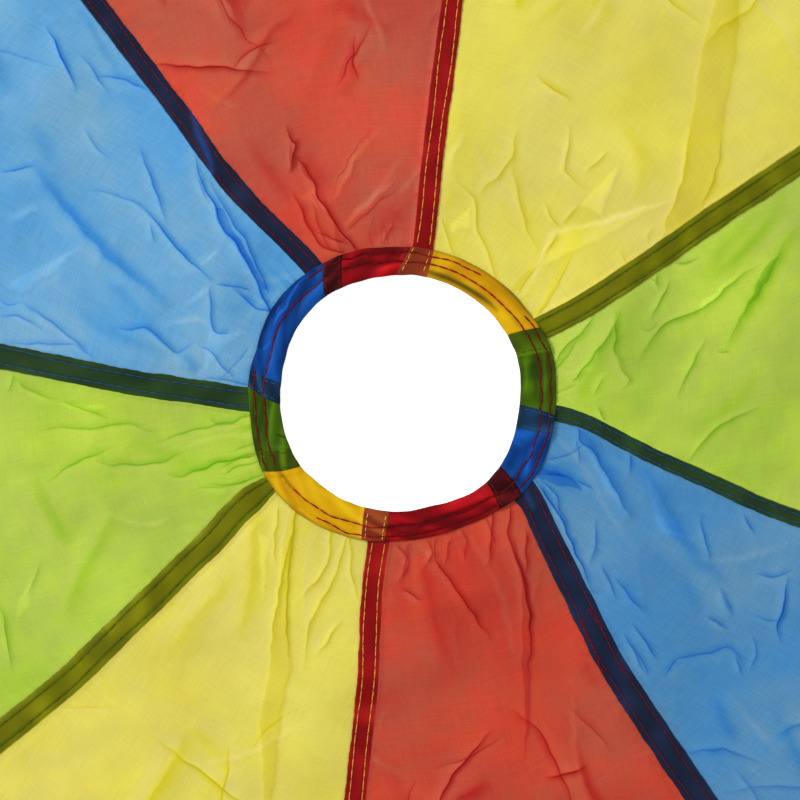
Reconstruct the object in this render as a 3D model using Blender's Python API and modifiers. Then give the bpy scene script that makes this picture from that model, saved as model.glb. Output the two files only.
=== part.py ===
"""Play parachute, laid flat: eight gores of thin cloth round an open centre hole.

The gores hook into each other in flat-felled seams, their inner and outer edges are
turned over twice and sewn, and each gore has a webbing handle that hinges on its hem.
Origin: the middle of the hole, on the floor. +Z is up. The first gore lies at 135 degrees
and the gores are numbered clockwise, as seen from above.
"""
import math

import bmesh
import bpy
from mathutils import Matrix, Vector
from mathutils.geometry import interpolate_bezier

MM = 0.001

# The whole canopy
GORE_COLOURS = ("blue", "red", "yellow", "green", "blue", "red", "yellow", "green")
FIRST_GORE_ANGLE = math.radians(135)
GORE_ANGLE = 2 * math.pi / len(GORE_COLOURS)
CANOPY_RADIUS = 875 * MM
HOLE_RADIUS = 50 * MM

# Cloth: a solid layer, and the air left between two layers that lie on each other
CLOTH = 0.3 * MM
LAYER_GAP = 0.3 * MM

# Flat-felled seam between two gores
SEAM_WIDTH = 9.5 * MM
SEAM_ROWS_APART = 5.5 * MM
SEAM_RAMP = 15 * MM
SEAM_RAMP_SHARE = 0.28

# Turned hems and the rows of stitches on them
CENTRE_HEM = 12.5 * MM
OUTER_HEM = 25 * MM
HEM_ROW_INSET = 2.1 * MM
HEM_ROWS_APART = 4.2 * MM

# Sewing thread
THREAD = 0.3 * MM
THREAD_CLEARANCE = 0.3 * MM
THREAD_LEAD = 1.2 * MM
THREAD_CLIMB = 3 * MM
RING_POINTS_PER_GORE = 6

# Main folds of the cloth, highest a little way out from the centre hem
FOLD_HEIGHT = 9 * MM

# Webbing handles
WEBBING_WIDTH = 25 * MM
WEBBING = 1.5 * MM
TAB_ON_HEM = 22 * MM
TAB_OVERHANG = 2 * MM
LOOP_LENGTH = 112 * MM
LOOP_NECK = 7 * MM
LOOP_END_RADIUS = 12 * MM
LOOP_SWELL = 8 * MM
LOOP_DIP_SHARE = 0.25
LOOP_SWELL_SHARE = 0.33
STRAP_GAP = 0.3 * MM
HINGE_GAP = 0.3 * MM
HINGE_LIFT = 0.3 * MM
BOX_STITCH = 17 * MM
TAB_EDGE_ROUND = 0.4 * MM

# Values that follow from the driving sizes
HALF_GORE = GORE_ANGLE / 2
LAYER_STEP = CLOTH + LAYER_GAP
HALF_SEAM = SEAM_WIDTH / 2
FOLD_ROOM = CLOTH / 2 + LAYER_GAP
HEM_TOP = 2 * LAYER_STEP + CLOTH
SEAM_TOP = 3 * LAYER_STEP + CLOTH
CENTRE_HEM_EDGE = HOLE_RADIUS + CENTRE_HEM
OUTER_HEM_EDGE = CANOPY_RADIUS - OUTER_HEM
TAB_BOTTOM = HEM_TOP + THREAD_CLEARANCE + THREAD + THREAD_CLEARANCE
TAB_THICKNESS = 2 * WEBBING + STRAP_GAP
TAB_TOP = TAB_BOTTOM + TAB_THICKNESS
HINGE_RADIUS = CANOPY_RADIUS + TAB_OVERHANG
HINGE_HEIGHT = TAB_TOP + HINGE_LIFT

# Rows of the cloth's cage: where each lies, as a share of the way from the centre hem
# to the outer hem, and what share of the fold height stands there
ROW_SHARES = ((0.02, 0.20), (0.055, 0.65), (0.10, 1.0), (0.17, 0.95), (0.28, 0.70),
              (0.43, 0.50), (0.62, 0.34), (0.82, 0.16), (0.95, 0.0))

# Folds of each gore, from its clockwise seam to the next: shares of the way across at the
# centre hem and at the outer hem, and the share of the fold height on that line
FOLD_SHARES = (
    ((0.12, 0.08, 0.0), (0.28, 0.22, 0.7), (0.43, 0.40, 0.1), (0.58, 0.56, 1.0),
     (0.75, 0.74, 0.15), (0.89, 0.91, 0.3)),
    ((0.12, 0.12, 0.1), (0.27, 0.30, 0.9), (0.44, 0.46, 0.1), (0.60, 0.61, 0.5),
     (0.74, 0.75, 0.0), (0.88, 0.88, 0.6)),
    ((0.14, 0.10, 0.0), (0.30, 0.25, 0.6), (0.46, 0.45, 0.2), (0.60, 0.62, 1.0),
     (0.76, 0.78, 0.1), (0.89, 0.92, 0.5)),
    ((0.12, 0.14, 0.2), (0.28, 0.32, 0.8), (0.42, 0.45, 0.0), (0.58, 0.60, 0.8),
     (0.72, 0.74, 0.1), (0.87, 0.86, 0.3)),
    ((0.15, 0.12, 0.3), (0.30, 0.28, 0.1), (0.46, 0.46, 0.8), (0.61, 0.60, 0.1),
     (0.76, 0.73, 0.7), (0.90, 0.90, 0.0)),
    ((0.13, 0.10, 0.0), (0.27, 0.26, 0.6), (0.42, 0.42, 0.0), (0.57, 0.58, 0.7),
     (0.73, 0.74, 0.1), (0.88, 0.90, 0.4)),
    ((0.12, 0.09, 0.1), (0.26, 0.22, 1.0), (0.41, 0.38, 0.0), (0.57, 0.55, 0.7),
     (0.73, 0.72, 0.1), (0.88, 0.90, 0.5)),
    ((0.14, 0.12, 0.4), (0.29, 0.30, 0.1), (0.45, 0.47, 0.9), (0.60, 0.62, 0.1),
     (0.75, 0.77, 0.6), (0.89, 0.90, 0.0)),
)

CLOTH_COLOURS = {"blue": (0.08, 0.34, 0.62), "red": (0.55, 0.05, 0.03),
                 "yellow": (0.72, 0.56, 0.07), "green": (0.34, 0.52, 0.05)}
SEAM_THREAD_COLOURS = {("blue", "red"): (0.25, 0.003, 0.005), ("red", "yellow"): (0.70, 0.26, 0.02),
                       ("yellow", "green"): (0.10, 0.22, 0.01), ("green", "blue"): (0.01, 0.06, 0.25)}
HEM_THREAD_COLOUR = (0.25, 0.003, 0.005)
WEBBING_COLOUR = (0.012, 0.012, 0.014)
CLOTH_ROUGHNESS = 0.45
THREAD_ROUGHNESS = 0.6
WEBBING_ROUGHNESS = 0.7


def material(name, colour, roughness):
    """A plain Principled material, made once for each name."""
    found = bpy.data.materials.get(name)
    if found:
        return found
    made = bpy.data.materials.new(name)
    made.use_nodes = True
    shader = made.node_tree.nodes["Principled BSDF"]
    shader.inputs["Base Color"].default_value = (*colour, 1)
    shader.inputs["Roughness"].default_value = roughness
    shader.inputs["Metallic"].default_value = 0
    return made


def cloth_material(colour):
    return material(f"cloth_{colour}", CLOTH_COLOURS[colour], CLOTH_ROUGHNESS)


def add_object(name, data, surface, collection):
    data.materials.append(surface)
    made = bpy.data.objects.new(name, data)
    collection.objects.link(made)
    return made


def level(layer):
    """Height of the middle of a cloth layer, counted from the floor."""
    return CLOTH / 2 + layer * LAYER_STEP


def off_seam(side, radius, inward):
    """Point beside a seam's centre line, in a gore's own frame.

    side is -1 for the clockwise seam and +1 for the other; inward is the distance
    from the centre line towards the middle of the gore.
    """
    along = Vector((math.cos(HALF_GORE), side * math.sin(HALF_GORE), 0))
    across = Vector((math.sin(HALF_GORE), -side * math.cos(HALF_GORE), 0))
    return radius * along + inward * across


def seam_turn(radius, inward):
    """Angle that a distance from a seam's centre line takes up at a radius."""
    return math.atan2(inward, radius)


def ramp_angle(radius):
    """Where the cloth that lies over a seam has come down to the floor again."""
    start = -HALF_GORE + seam_turn(radius, HALF_SEAM + FOLD_ROOM)
    ramp = min(SEAM_RAMP / radius, SEAM_RAMP_SHARE * 2 * HALF_GORE)
    return start + ramp


def cage_rows():
    """Radius of each row of the cage, with its share of the fold height."""
    span = OUTER_HEM_EDGE - CENTRE_HEM_EDGE
    middle = [(CENTRE_HEM_EDGE + place * span, height) for place, height in ROW_SHARES]
    inner = [(HOLE_RADIUS, 0), (CENTRE_HEM_EDGE, 0)]
    outer = [(OUTER_HEM_EDGE, 0), (CANOPY_RADIUS, 0)]
    return inner + middle + outer


def panel_row(radius, height_share, folds):
    """Points of one row of a gore, from over one seam to under the next."""
    points = [off_seam(-1, radius, -HALF_SEAM) + Vector((0, 0, level(3))),
              off_seam(-1, radius, HALF_SEAM + FOLD_ROOM) + Vector((0, 0, level(3)))]
    first = ramp_angle(radius)
    last = HALF_GORE - seam_turn(radius, HALF_SEAM + FOLD_ROOM)
    outward = (radius - CENTRE_HEM_EDGE) / (OUTER_HEM_EDGE - CENTRE_HEM_EDGE)
    outward = min(max(outward, 0), 1)
    places = [(0, 0)]
    for at_hole, at_rim, fold in folds:
        across = at_hole + (at_rim - at_hole) * outward
        places.append((across, fold * height_share * FOLD_HEIGHT))
    places.append((1, 0))
    for across, height in places:
        angle = first + across * (last - first)
        points.append(Vector((radius * math.cos(angle), radius * math.sin(angle), level(0) + height)))
    points.append(off_seam(1, radius, -HALF_SEAM) + Vector((0, 0, level(0))))
    return points


def fold_edge(shape, edges, direction, steps):
    """Turn a run of edges over, step by step: each step goes out by one and up by the other."""
    for out, up in steps:
        made = bmesh.ops.extrude_edge_only(shape, edges=edges)["geom"]
        for vert in (part for part in made if isinstance(part, bmesh.types.BMVert)):
            vert.co += direction(vert.co) * out + Vector((0, 0, up))
        edges = [part for part in made if isinstance(part, bmesh.types.BMEdge)
                 and all(end in made for end in part.verts)]
    return edges


def run_of_edges(verts):
    return [edge for first, second in zip(verts, verts[1:])
            for edge in first.link_edges if edge.other_vert(first) is second]


def radial(point):
    return Vector((point.x, point.y, 0)).normalized()


def seam_inward(side):
    """The direction from a seam into the gore, the same all along the seam."""
    direction = off_seam(side, 0, 1)
    return lambda point: direction


def gore_mesh(name, folds):
    """One gore as an open sheet: panel, two seam hooks, and a hem turned twice at each end."""
    rows = cage_rows()
    lines = [panel_row(radius, share, folds) for radius, share in rows]
    shape = bmesh.new()
    bmesh.ops.create_grid(shape, x_segments=len(lines[0]) - 1, y_segments=len(rows) - 1, size=1)
    order = sorted(shape.verts, key=lambda vert: (round(vert.co.y, 4), vert.co.x))
    grid = [order[row * len(lines[0]):(row + 1) * len(lines[0])] for row in range(len(rows))]
    for verts, line in zip(grid, lines):
        for vert, point in zip(verts, line):
            vert.co = point

    hook = SEAM_WIDTH - FOLD_ROOM
    fold_edge(shape, run_of_edges([verts[0] for verts in grid]), seam_inward(-1),
              ((0, -2 * LAYER_STEP), (hook, 0)))
    fold_edge(shape, run_of_edges([verts[-1] for verts in grid]), seam_inward(1),
              ((0, 2 * LAYER_STEP), (hook, 0)))
    for verts, hem, outward in ((grid[0][:-1], CENTRE_HEM, 1), (grid[-1][:-1], OUTER_HEM, -1)):
        fold_edge(shape, run_of_edges(verts), radial,
                  ((0, 2 * LAYER_STEP), (outward * hem, 0), (0, -LAYER_STEP), (outward * (FOLD_ROOM - hem), 0)))

    bmesh.ops.recalc_face_normals(shape, faces=shape.faces)
    mesh = bpy.data.meshes.new(name)
    shape.to_mesh(mesh)
    shape.free()
    return mesh


def gore_angle(index):
    """Direction of the middle of a gore, or of the handle on it."""
    return FIRST_GORE_ANGLE - index * GORE_ANGLE


def build_gore(index, collection):
    colour = GORE_COLOURS[index]
    name = f"gore_{index + 1}_{colour}"
    gore = add_object(name, gore_mesh(name, FOLD_SHARES[index]), cloth_material(colour), collection)
    gore.rotation_euler.z = gore_angle(index)
    sheet = gore.modifiers.new("cloth", "SOLIDIFY")
    sheet.thickness = CLOTH
    sheet.offset = 0
    sheet.use_even_offset = True
    sheet.use_quality_normals = True
    return gore


def thread_curve(name, points, closed, sides_level):
    curve = bpy.data.curves.new(name, "CURVE")
    curve.dimensions = "3D"
    curve.bevel_depth = THREAD / 2
    curve.bevel_resolution = sides_level
    curve.use_fill_caps = True
    spline = curve.splines.new("POLY")
    spline.points.add(len(points) - 1)
    for slot, point in zip(spline.points, points):
        slot.co = (*point, 1)
    spline.use_cyclic_u = closed
    return curve


def build_seam_threads(index, collection):
    """The two rows of stitches on the seam between a gore and the next one clockwise."""
    pair = (GORE_COLOURS[index], GORE_COLOURS[(index + 1) % len(GORE_COLOURS)])
    surface = material(f"thread_{pair[0]}_{pair[1]}", SEAM_THREAD_COLOURS[pair], THREAD_ROUGHNESS)
    height = SEAM_TOP + THREAD_CLEARANCE + THREAD / 2
    start = CENTRE_HEM_EDGE + CLOTH + THREAD_LEAD
    end = OUTER_HEM_EDGE - CLOTH - THREAD_LEAD
    for row, side in (("near", 1), ("far", -1)):
        name = f"seam_{index + 1}_thread_{row}"
        across = side * SEAM_ROWS_APART / 2
        curve = thread_curve(name, [(start, across, height), (end, across, height)], False, 1)
        thread = add_object(name, curve, surface, collection)
        thread.rotation_euler.z = gore_angle(index) - HALF_GORE


def ring_points(radius):
    """A row of stitches round a hem: it climbs onto each seam and comes down beyond it."""
    high = level(5) + CLOTH / 2 + THREAD_CLEARANCE + THREAD / 2
    low = HEM_TOP + THREAD_CLEARANCE + THREAD / 2
    up = -HALF_GORE - seam_turn(radius, HALF_SEAM + THREAD_LEAD)
    over = -HALF_GORE + seam_turn(radius, HALF_SEAM + FOLD_ROOM)
    down = ramp_angle(radius)
    foot = HALF_GORE - seam_turn(radius, HALF_SEAM + THREAD_LEAD + THREAD_CLIMB)
    points = []
    for index in reversed(range(len(GORE_COLOURS))):
        stops = [(up, high), (over, high)]
        for step in range(RING_POINTS_PER_GORE):
            share = step / (RING_POINTS_PER_GORE - 1)
            stops.append((down + share * (foot - down), low))
        for angle, height in stops:
            turned = gore_angle(index) + angle
            points.append((radius * math.cos(turned), radius * math.sin(turned), height))
    return points


def build_hem_threads(collection):
    """Two rows of stitches on the centre hem, and two on the outer hem."""
    surface = material("thread_hem", HEM_THREAD_COLOUR, THREAD_ROUGHNESS)
    centre = CENTRE_HEM_EDGE - HEM_ROW_INSET
    outer = OUTER_HEM_EDGE + HEM_ROW_INSET
    rows = {"centre_hem_thread_outer_row": centre,
            "centre_hem_thread_inner_row": centre - HEM_ROWS_APART,
            "outer_hem_thread_inner_row": outer,
            "outer_hem_thread_outer_row": outer + HEM_ROWS_APART}
    for name, radius in rows.items():
        add_object(name, thread_curve(name, ring_points(radius), True, 0), surface, collection)


def build_tab(index, collection):
    """The two strap ends, pressed together and sewn down on the outer hem."""
    length = TAB_ON_HEM + TAB_OVERHANG
    shape = bmesh.new()
    bmesh.ops.create_cube(shape, size=1)
    bmesh.ops.scale(shape, verts=shape.verts, vec=(length, WEBBING_WIDTH, TAB_THICKNESS))
    name = f"handle_{index + 1}_tab"
    mesh = bpy.data.meshes.new(name)
    shape.to_mesh(mesh)
    shape.free()
    tab = add_object(name, mesh, material("webbing", WEBBING_COLOUR, WEBBING_ROUGHNESS), collection)
    turn = Matrix.Rotation(gore_angle(index), 4, "Z")
    middle = Vector((HINGE_RADIUS - length / 2, 0, TAB_BOTTOM + TAB_THICKNESS / 2))
    tab.location = turn @ middle
    tab.rotation_euler.z = gore_angle(index)
    edge = tab.modifiers.new("worn_edge", "BEVEL")
    edge.width = TAB_EDGE_ROUND
    edge.segments = 1
    return tab


def box_stitch_curve(name):
    """A square of stitches with a cross in it, as a flat outline with four holes."""
    half = BOX_STITCH / 2
    diagonal = THREAD / math.sqrt(2)
    corner = half - THREAD - diagonal
    outlines = [[(half, half), (-half, half), (-half, -half), (half, -half)]]
    for quarter in range(4):
        turn = Matrix.Rotation(quarter * math.pi / 2, 2)
        triangle = ((0, diagonal), (corner, half - THREAD), (-corner, half - THREAD))
        outlines.append([turn @ Vector(point) for point in triangle])
    curve = bpy.data.curves.new(name, "CURVE")
    curve.dimensions = "2D"
    curve.fill_mode = "BOTH"
    curve.extrude = THREAD / 2
    for outline in outlines:
        spline = curve.splines.new("POLY")
        spline.points.add(len(outline) - 1)
        for slot, point in zip(spline.points, outline):
            slot.co = (point[0], point[1], 0, 1)
        spline.use_cyclic_u = True
    return curve


def build_box_stitch(index, collection):
    name = f"handle_{index + 1}_stitch"
    surface = material("thread_hem", HEM_THREAD_COLOUR, THREAD_ROUGHNESS)
    stitch = add_object(name, box_stitch_curve(name), surface, collection)
    tab_middle = HINGE_RADIUS - (TAB_ON_HEM + TAB_OVERHANG) / 2
    middle = Vector((tab_middle, 0, TAB_TOP + THREAD_CLEARANCE + THREAD / 2))
    stitch.location = Matrix.Rotation(gore_angle(index), 4, "Z") @ middle
    stitch.rotation_euler.z = gore_angle(index)


def loop_path():
    """Middle line of the strap in the loop's side view, seen from the hinge.

    It leaves the tab on the lower strap, comes down to the floor, runs out, turns round
    the end and swells back over to the upper strap.
    """
    floor = WEBBING / 2 - HINGE_HEIGHT
    upper = -HINGE_LIFT - WEBBING / 2
    lower = upper - WEBBING - STRAP_GAP
    far = LOOP_LENGTH - LOOP_END_RADIUS - WEBBING / 2
    top = floor + 2 * LOOP_END_RADIUS
    run = far - LOOP_NECK
    dip = LOOP_NECK + run * LOOP_DIP_SHARE
    down = (LOOP_NECK + dip) / 2
    bow = LOOP_END_RADIUS * 4 / 3
    swell = run * LOOP_SWELL_SHARE
    stretches = (
        ((HINGE_GAP, lower), (HINGE_GAP, lower), (LOOP_NECK, lower), (LOOP_NECK, lower), 2),
        ((LOOP_NECK, lower), (down, lower), (down, floor), (dip, floor), 5),
        ((dip, floor), (dip, floor), (far, floor), (far, floor), 3),
        ((far, floor), (far + bow, floor), (far + bow, top), (far, top), 9),
        ((far, top), (far - swell, top + LOOP_SWELL), (LOOP_NECK + swell, upper), (LOOP_NECK, upper), 10),
        ((LOOP_NECK, upper), (LOOP_NECK, upper), (HINGE_GAP, upper), (HINGE_GAP, upper), 2),
    )
    path = []
    for start, leave, arrive, end, count in stretches:
        knots = [Vector((out, 0, up)) for out, up in (start, leave, arrive, end)]
        points = interpolate_bezier(*knots, count)
        path += points if not path else points[1:]
    return path


def build_loop(index, collection):
    """The free part of a handle: one strap round a loop, on an empty at its hinge."""
    turn = Matrix.Rotation(gore_angle(index), 4, "Z")
    hinge = bpy.data.objects.new(f"handle_{index + 1}_hinge", None)
    hinge.location = turn @ Vector((HINGE_RADIUS, 0, HINGE_HEIGHT))
    hinge.rotation_euler.z = gore_angle(index)
    hinge.empty_display_size = WEBBING_WIDTH
    collection.objects.link(hinge)

    shape = bmesh.new()
    verts = [shape.verts.new(point - Vector((0, WEBBING_WIDTH / 2, 0))) for point in loop_path()]
    edges = [shape.edges.new(ends) for ends in zip(verts, verts[1:])]
    made = bmesh.ops.extrude_edge_only(shape, edges=edges)["geom"]
    bmesh.ops.translate(shape, vec=(0, WEBBING_WIDTH, 0),
                        verts=[part for part in made if isinstance(part, bmesh.types.BMVert)])
    bmesh.ops.recalc_face_normals(shape, faces=shape.faces)
    name = f"handle_{index + 1}_loop"
    mesh = bpy.data.meshes.new(name)
    shape.to_mesh(mesh)
    shape.free()
    loop = add_object(name, mesh, material("webbing", WEBBING_COLOUR, WEBBING_ROUGHNESS), collection)
    loop.parent = hinge
    strap = loop.modifiers.new("strap", "SOLIDIFY")
    strap.thickness = WEBBING
    strap.offset = 0
    strap.use_even_offset = True
    strap.use_quality_normals = True


def clear_scene():
    for old in list(bpy.data.objects):
        bpy.data.objects.remove(old, do_unlink=True)


def build():
    clear_scene()
    collection = bpy.data.collections.new("play_parachute")
    bpy.context.scene.collection.children.link(collection)
    for index in range(len(GORE_COLOURS)):
        build_gore(index, collection)
        build_seam_threads(index, collection)
        build_tab(index, collection)
        build_box_stitch(index, collection)
        build_loop(index, collection)
    build_hem_threads(collection)


build()
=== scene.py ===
"""Looks of the play parachute: thin cloth gores, felled seams, turned hems, stitches, handles."""
import functools
import math

import bmesh
import bpy
import numpy as np
from mathutils import Matrix, Vector
from mathutils.geometry import interpolate_bezier

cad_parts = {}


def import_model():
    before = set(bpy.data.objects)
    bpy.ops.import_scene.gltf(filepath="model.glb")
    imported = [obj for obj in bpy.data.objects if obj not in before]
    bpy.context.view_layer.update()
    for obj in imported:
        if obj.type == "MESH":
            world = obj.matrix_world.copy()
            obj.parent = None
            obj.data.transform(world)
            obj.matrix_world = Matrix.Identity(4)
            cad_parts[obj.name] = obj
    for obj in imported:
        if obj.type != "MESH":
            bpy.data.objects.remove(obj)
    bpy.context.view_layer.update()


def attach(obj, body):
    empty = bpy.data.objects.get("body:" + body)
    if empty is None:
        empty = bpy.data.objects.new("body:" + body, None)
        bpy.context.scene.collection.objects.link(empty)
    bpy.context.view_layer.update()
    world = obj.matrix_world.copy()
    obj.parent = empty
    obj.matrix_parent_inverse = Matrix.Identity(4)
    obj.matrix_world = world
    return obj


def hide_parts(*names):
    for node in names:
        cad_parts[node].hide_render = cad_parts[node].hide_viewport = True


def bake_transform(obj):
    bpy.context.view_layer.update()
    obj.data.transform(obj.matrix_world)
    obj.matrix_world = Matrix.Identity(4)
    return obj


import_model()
scene = bpy.context.scene

MM = 0.001

# The canopy, as in the part's source
COLOURS = ("blue", "red", "yellow", "green") * 2
FIRST_GORE = math.radians(135)
GORE = math.radians(45)
RIM = 50 * MM
CENTRE_HEM = 12.5 * MM
HEM_EDGE = RIM + CENTRE_HEM
CANOPY = 875 * MM
OUTER_HEM = 25 * MM
OUTER_EDGE = CANOPY - OUTER_HEM
SEAM = 9.5 * MM
SEAM_ROWS = 5.5 * MM
HEM_ROW = 2.1 * MM
HEM_ROWS_APART = 4.2 * MM
STITCH = 4.75 * MM

# How the cloth layers lie on each other here
CLOTH = 0.1 * MM
FLOOR_GAP = 0.1 * MM
SEAM_RISE = 0.6 * MM
FLAP_RISE = 1.0 * MM
LAP_RISE = 0.3 * MM

# The photograph: how wide it is, where the hole's centre is, how large a pixel is, how far it
# is turned
PICTURE = 800
HOLE_PIXEL = (400, 393.5)
PIXEL = 0.42 * MM
PHOTO_TURN = math.radians(14.5)

# The camera's lens and sensor, the floor, and each lamp's place, size and power
LENS, SENSOR = 85, 36
WHITE = (1, 1, 1, 1)
FLOOR_GREY = (0.86, 0.86, 0.86, 1)
FLOOR_HALF = 6
FLOOR_DROP = 0.05 * MM
FLOOR_GLOW = 0.7
WORLD_LIGHT = 0.5
LAMPS = {"key": ((-1.5, 1.25, 1.5), 0.9, 46), "fill": ((1.9, -1.4, 1.9), 2.2, 16)}


def from_photo(px, py):
    """The place on the cloth that a point of the photograph shows."""
    right, up = (px - HOLE_PIXEL[0]) * PIXEL, (HOLE_PIXEL[1] - py) * PIXEL
    turn, lean = math.cos(PHOTO_TURN), math.sin(PHOTO_TURN)
    return right * turn + up * lean, up * turn - right * lean


def places(pixels):
    """The places on the cloth of a run of photo pixels."""
    return [from_photo(*pixel) for pixel in pixels]


def linear(colour):
    """Scene colour of a 0-255 colour."""
    return [(c / 255 / 12.92) if c <= 10 else ((c / 255 + 0.055) / 1.055) ** 2.4 for c in colour]


def mesh_from(shape, name):
    """A mesh from a shape, which is used up."""
    mesh = bpy.data.meshes.new(name)
    shape.to_mesh(mesh)
    shape.free()
    return mesh


def add_object(name, data):
    """An object of a mesh, curve, lamp or camera, put into the scene."""
    made = bpy.data.objects.new(name, data)
    scene.collection.objects.link(made)
    return made


def mesh_places(mesh):
    """Where a mesh's points are, one to a row."""
    spot = np.empty(len(mesh.vertices) * 3)
    mesh.vertices.foreach_get("co", spot)
    return spot.reshape(-1, 3)


def set_smooth(mesh):
    """Shades all of a mesh's faces smooth."""
    mesh.polygons.foreach_set("use_smooth", np.ones(len(mesh.polygons), dtype=bool))


def applied(piece):
    """A new mesh of a piece with its modifiers carried out."""
    bpy.context.view_layer.update()
    finished = piece.evaluated_get(bpy.context.evaluated_depsgraph_get())
    return bpy.data.meshes.new_from_object(finished)


# Camera, floor and light

def build_camera():
    """A camera straight above the picture's middle, turned as the photograph is."""
    data = bpy.data.cameras.new("camera")
    data.lens, data.sensor_width = LENS, SENSOR
    camera = add_object("camera", data)
    x, y = from_photo(PICTURE / 2, PICTURE / 2)
    camera.location = (x, y, PICTURE * PIXEL * LENS / SENSOR)
    camera.rotation_euler = (0, 0, -PHOTO_TURN)
    scene.camera = camera


def build_floor():
    """A plain pale floor that shows white behind the cloth and still takes its shadow."""
    shape = bmesh.new()
    bmesh.ops.create_grid(shape, x_segments=1, y_segments=1, size=FLOOR_HALF)
    floor = add_object("floor", mesh_from(shape, "floor"))
    floor.location.z = -FLOOR_DROP
    surface, tree, shader = new_surface(
        "pale_floor", {"Base Color": FLOOR_GREY, "Roughness": 0.9, "Emission Color": WHITE})
    rays = tree.nodes.new("ShaderNodeLightPath").outputs
    seen = maths(tree, "MAXIMUM", rays["Is Camera Ray"], rays["Is Glossy Ray"])
    seen = maths(tree, "MAXIMUM", seen, rays["Is Transmission Ray"])
    tree.links.new(maths(tree, "MULTIPLY", seen, FLOOR_GLOW), shader["Emission Strength"])
    floor.data.materials.append(surface)


def build_light():
    """Even white light all round, a key lamp and a larger, softer one."""
    scene.view_settings.view_transform = "Standard"
    world = bpy.data.worlds.new("studio")
    world.use_nodes = True
    scene.world = world
    tree = world.node_tree
    backdrop = tree.nodes["Background"].inputs
    backdrop["Color"].default_value = WHITE
    rays = tree.nodes.new("ShaderNodeLightPath").outputs
    strength = tree.nodes.new("ShaderNodeMapRange")
    strength.inputs["To Min"].default_value = WORLD_LIGHT
    strength.inputs["To Max"].default_value = 1.0
    tree.links.new(rays["Is Camera Ray"], strength.inputs["Value"])
    tree.links.new(strength.outputs["Result"], backdrop["Strength"])
    for name, (place, size, power) in LAMPS.items():
        data = bpy.data.lights.new(name, "AREA")
        data.size = size
        data.energy = power
        lamp = add_object(name, data)
        lamp.location = place
        lamp.rotation_euler = Vector(place).to_track_quat("Z", "Y").to_euler()


# Places on the canopy

# Middle line of each seam, as pixels of the photograph
SEAM_LINES = {
    1: ((188, 124), (205.5, 150.5), (236, 190), (262, 217), (281, 235), (315, 270)),
    2: ((436.7, 124), (430, 181), (423.5, 246.5)),
    3: ((542, 328), (579, 309), (617, 284.5), (655, 259), (701, 226.5), (729, 207.5), (800, 160.5)),
    4: ((553, 412), (581.5, 419.5), (617, 438.5), (655, 458), (706, 480), (757, 504), (800, 520)),
    5: ((527.5, 492), (543, 527.5), (558, 558), (573.5, 589), (591, 624.5), (603, 650),
        (618, 675.5)),
    6: ((378, 546), (373, 578.5), (370.5, 617), (368.5, 675.5)),
    7: ((270, 484.5), (239.5, 509), (214, 539.5), (188.5, 562.5), (160, 592), (132, 618.5),
        (111.5, 639), (75, 675)),
    8: ((248.5, 400.5), (217, 394.5), (178.5, 389), (140.5, 384), (115, 379), (76.5, 371),
        (38.5, 363.5), (0, 356)),
}
# How wide each seam shows in the photograph: some lean over, some lie quite flat. One of them
# is drawn together where it meets the centre hem
SEAM_SHOWN = {1: 0.84, 2: 0.92, 3: 1.04, 4: 0.68, 5: 1.18, 6: 0.9, 7: 1.18, 8: 1.08}
SEAM_AT_HEM = {7: 0.6}
DRAWN_TOGETHER = 16 * MM
EVEN_FROM, EVEN_RUN = 250 * MM, 200 * MM
# Each turned seam on the centre hem: photo degrees of its edge at the rim and at the hem's
# edge, then of the turned strip's other edge
TURNED_SEAMS = {
    1: (127.3, 120.6, 117.9, 112.4), 2: (91.4, 85.7, 77.0, 76.8), 3: (28.4, 25.4, 17.3, 15.8),
    4: (-5.5, -8.0, -16.6, -15.0), 5: (-36.0, -39.4, -45.8, -49.0), 6: (265.1, 264.2, 253.0, 255.3),
    7: (215.8, 209.5, 206.6, 201.7), 8: (184.9, 177.3, 174.7, 171.3),
}
# Past the photograph each seam keeps a share of its last slope at first, drifts back to its own
# radius and is on it from here. The slope is measured over the last stretch of this length
SEAM_STRAIGHT_FROM = 680 * MM
SLOPE_KEPT = 0.4
SLOPE_RUN = 35 * MM
# The photograph's centre hem isn't quite round: photo degrees, then how far the hole's rim and
# the hem's edge lie from the middle there, in mm
HEM_SHAPE = (
    (2, 50.5, 65.2), (15, 51.4, 66.0), (29, 51.2, 64.0), (38, 51.0, 63.2), (50, 50.4, 62.3),
    (64, 50.2, 61.8), (76, 50.1, 61.6), (93, 49.6, 61.2), (107, 49.7, 62.5), (128, 51.4, 63.7),
    (139, 51.3, 64.4), (150, 51.1, 64.1), (163, 50.3, 62.7), (175, 50.0, 63.6), (188, 50.6, 63.2),
    (196, 50.9, 64.2), (209, 51.5, 66.1), (217, 51.7, 66.2), (228, 50.7, 66.0), (240, 50.6, 64.8),
    (257, 49.8, 63.1), (270, 49.6, 61.4), (285, 48.9, 61.1), (296, 50.0, 61.4), (309, 51.8, 63.4),
    (320, 52.0, 66.0), (335, 51.3, 66.5), (349, 50.4, 65.6),
)


def gore_angle(number):
    """Angle of a gore's middle line."""
    return FIRST_GORE - (number - 1) * GORE


def before(number):
    """The gore or seam anticlockwise of this one."""
    return (number - 2) % 8 + 1


def after(number):
    """The gore or seam clockwise of this one."""
    return number % 8 + 1


def wrap(angle):
    """The same angle, within half a turn of nil."""
    return (angle + math.pi) % (2 * math.pi) - math.pi


def ease(share):
    """From 0 to 1 as share does, slow at both ends and held there."""
    share = np.clip(share, 0, 1)
    return share * share * (3 - 2 * share)


def smoothed(values, width, mode):
    """Values evened out over a window, an odd number of steps wide."""
    window = np.hanning(width)
    return np.convolve(np.pad(values, width // 2, mode=mode), window / window.sum(), "valid")


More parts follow.
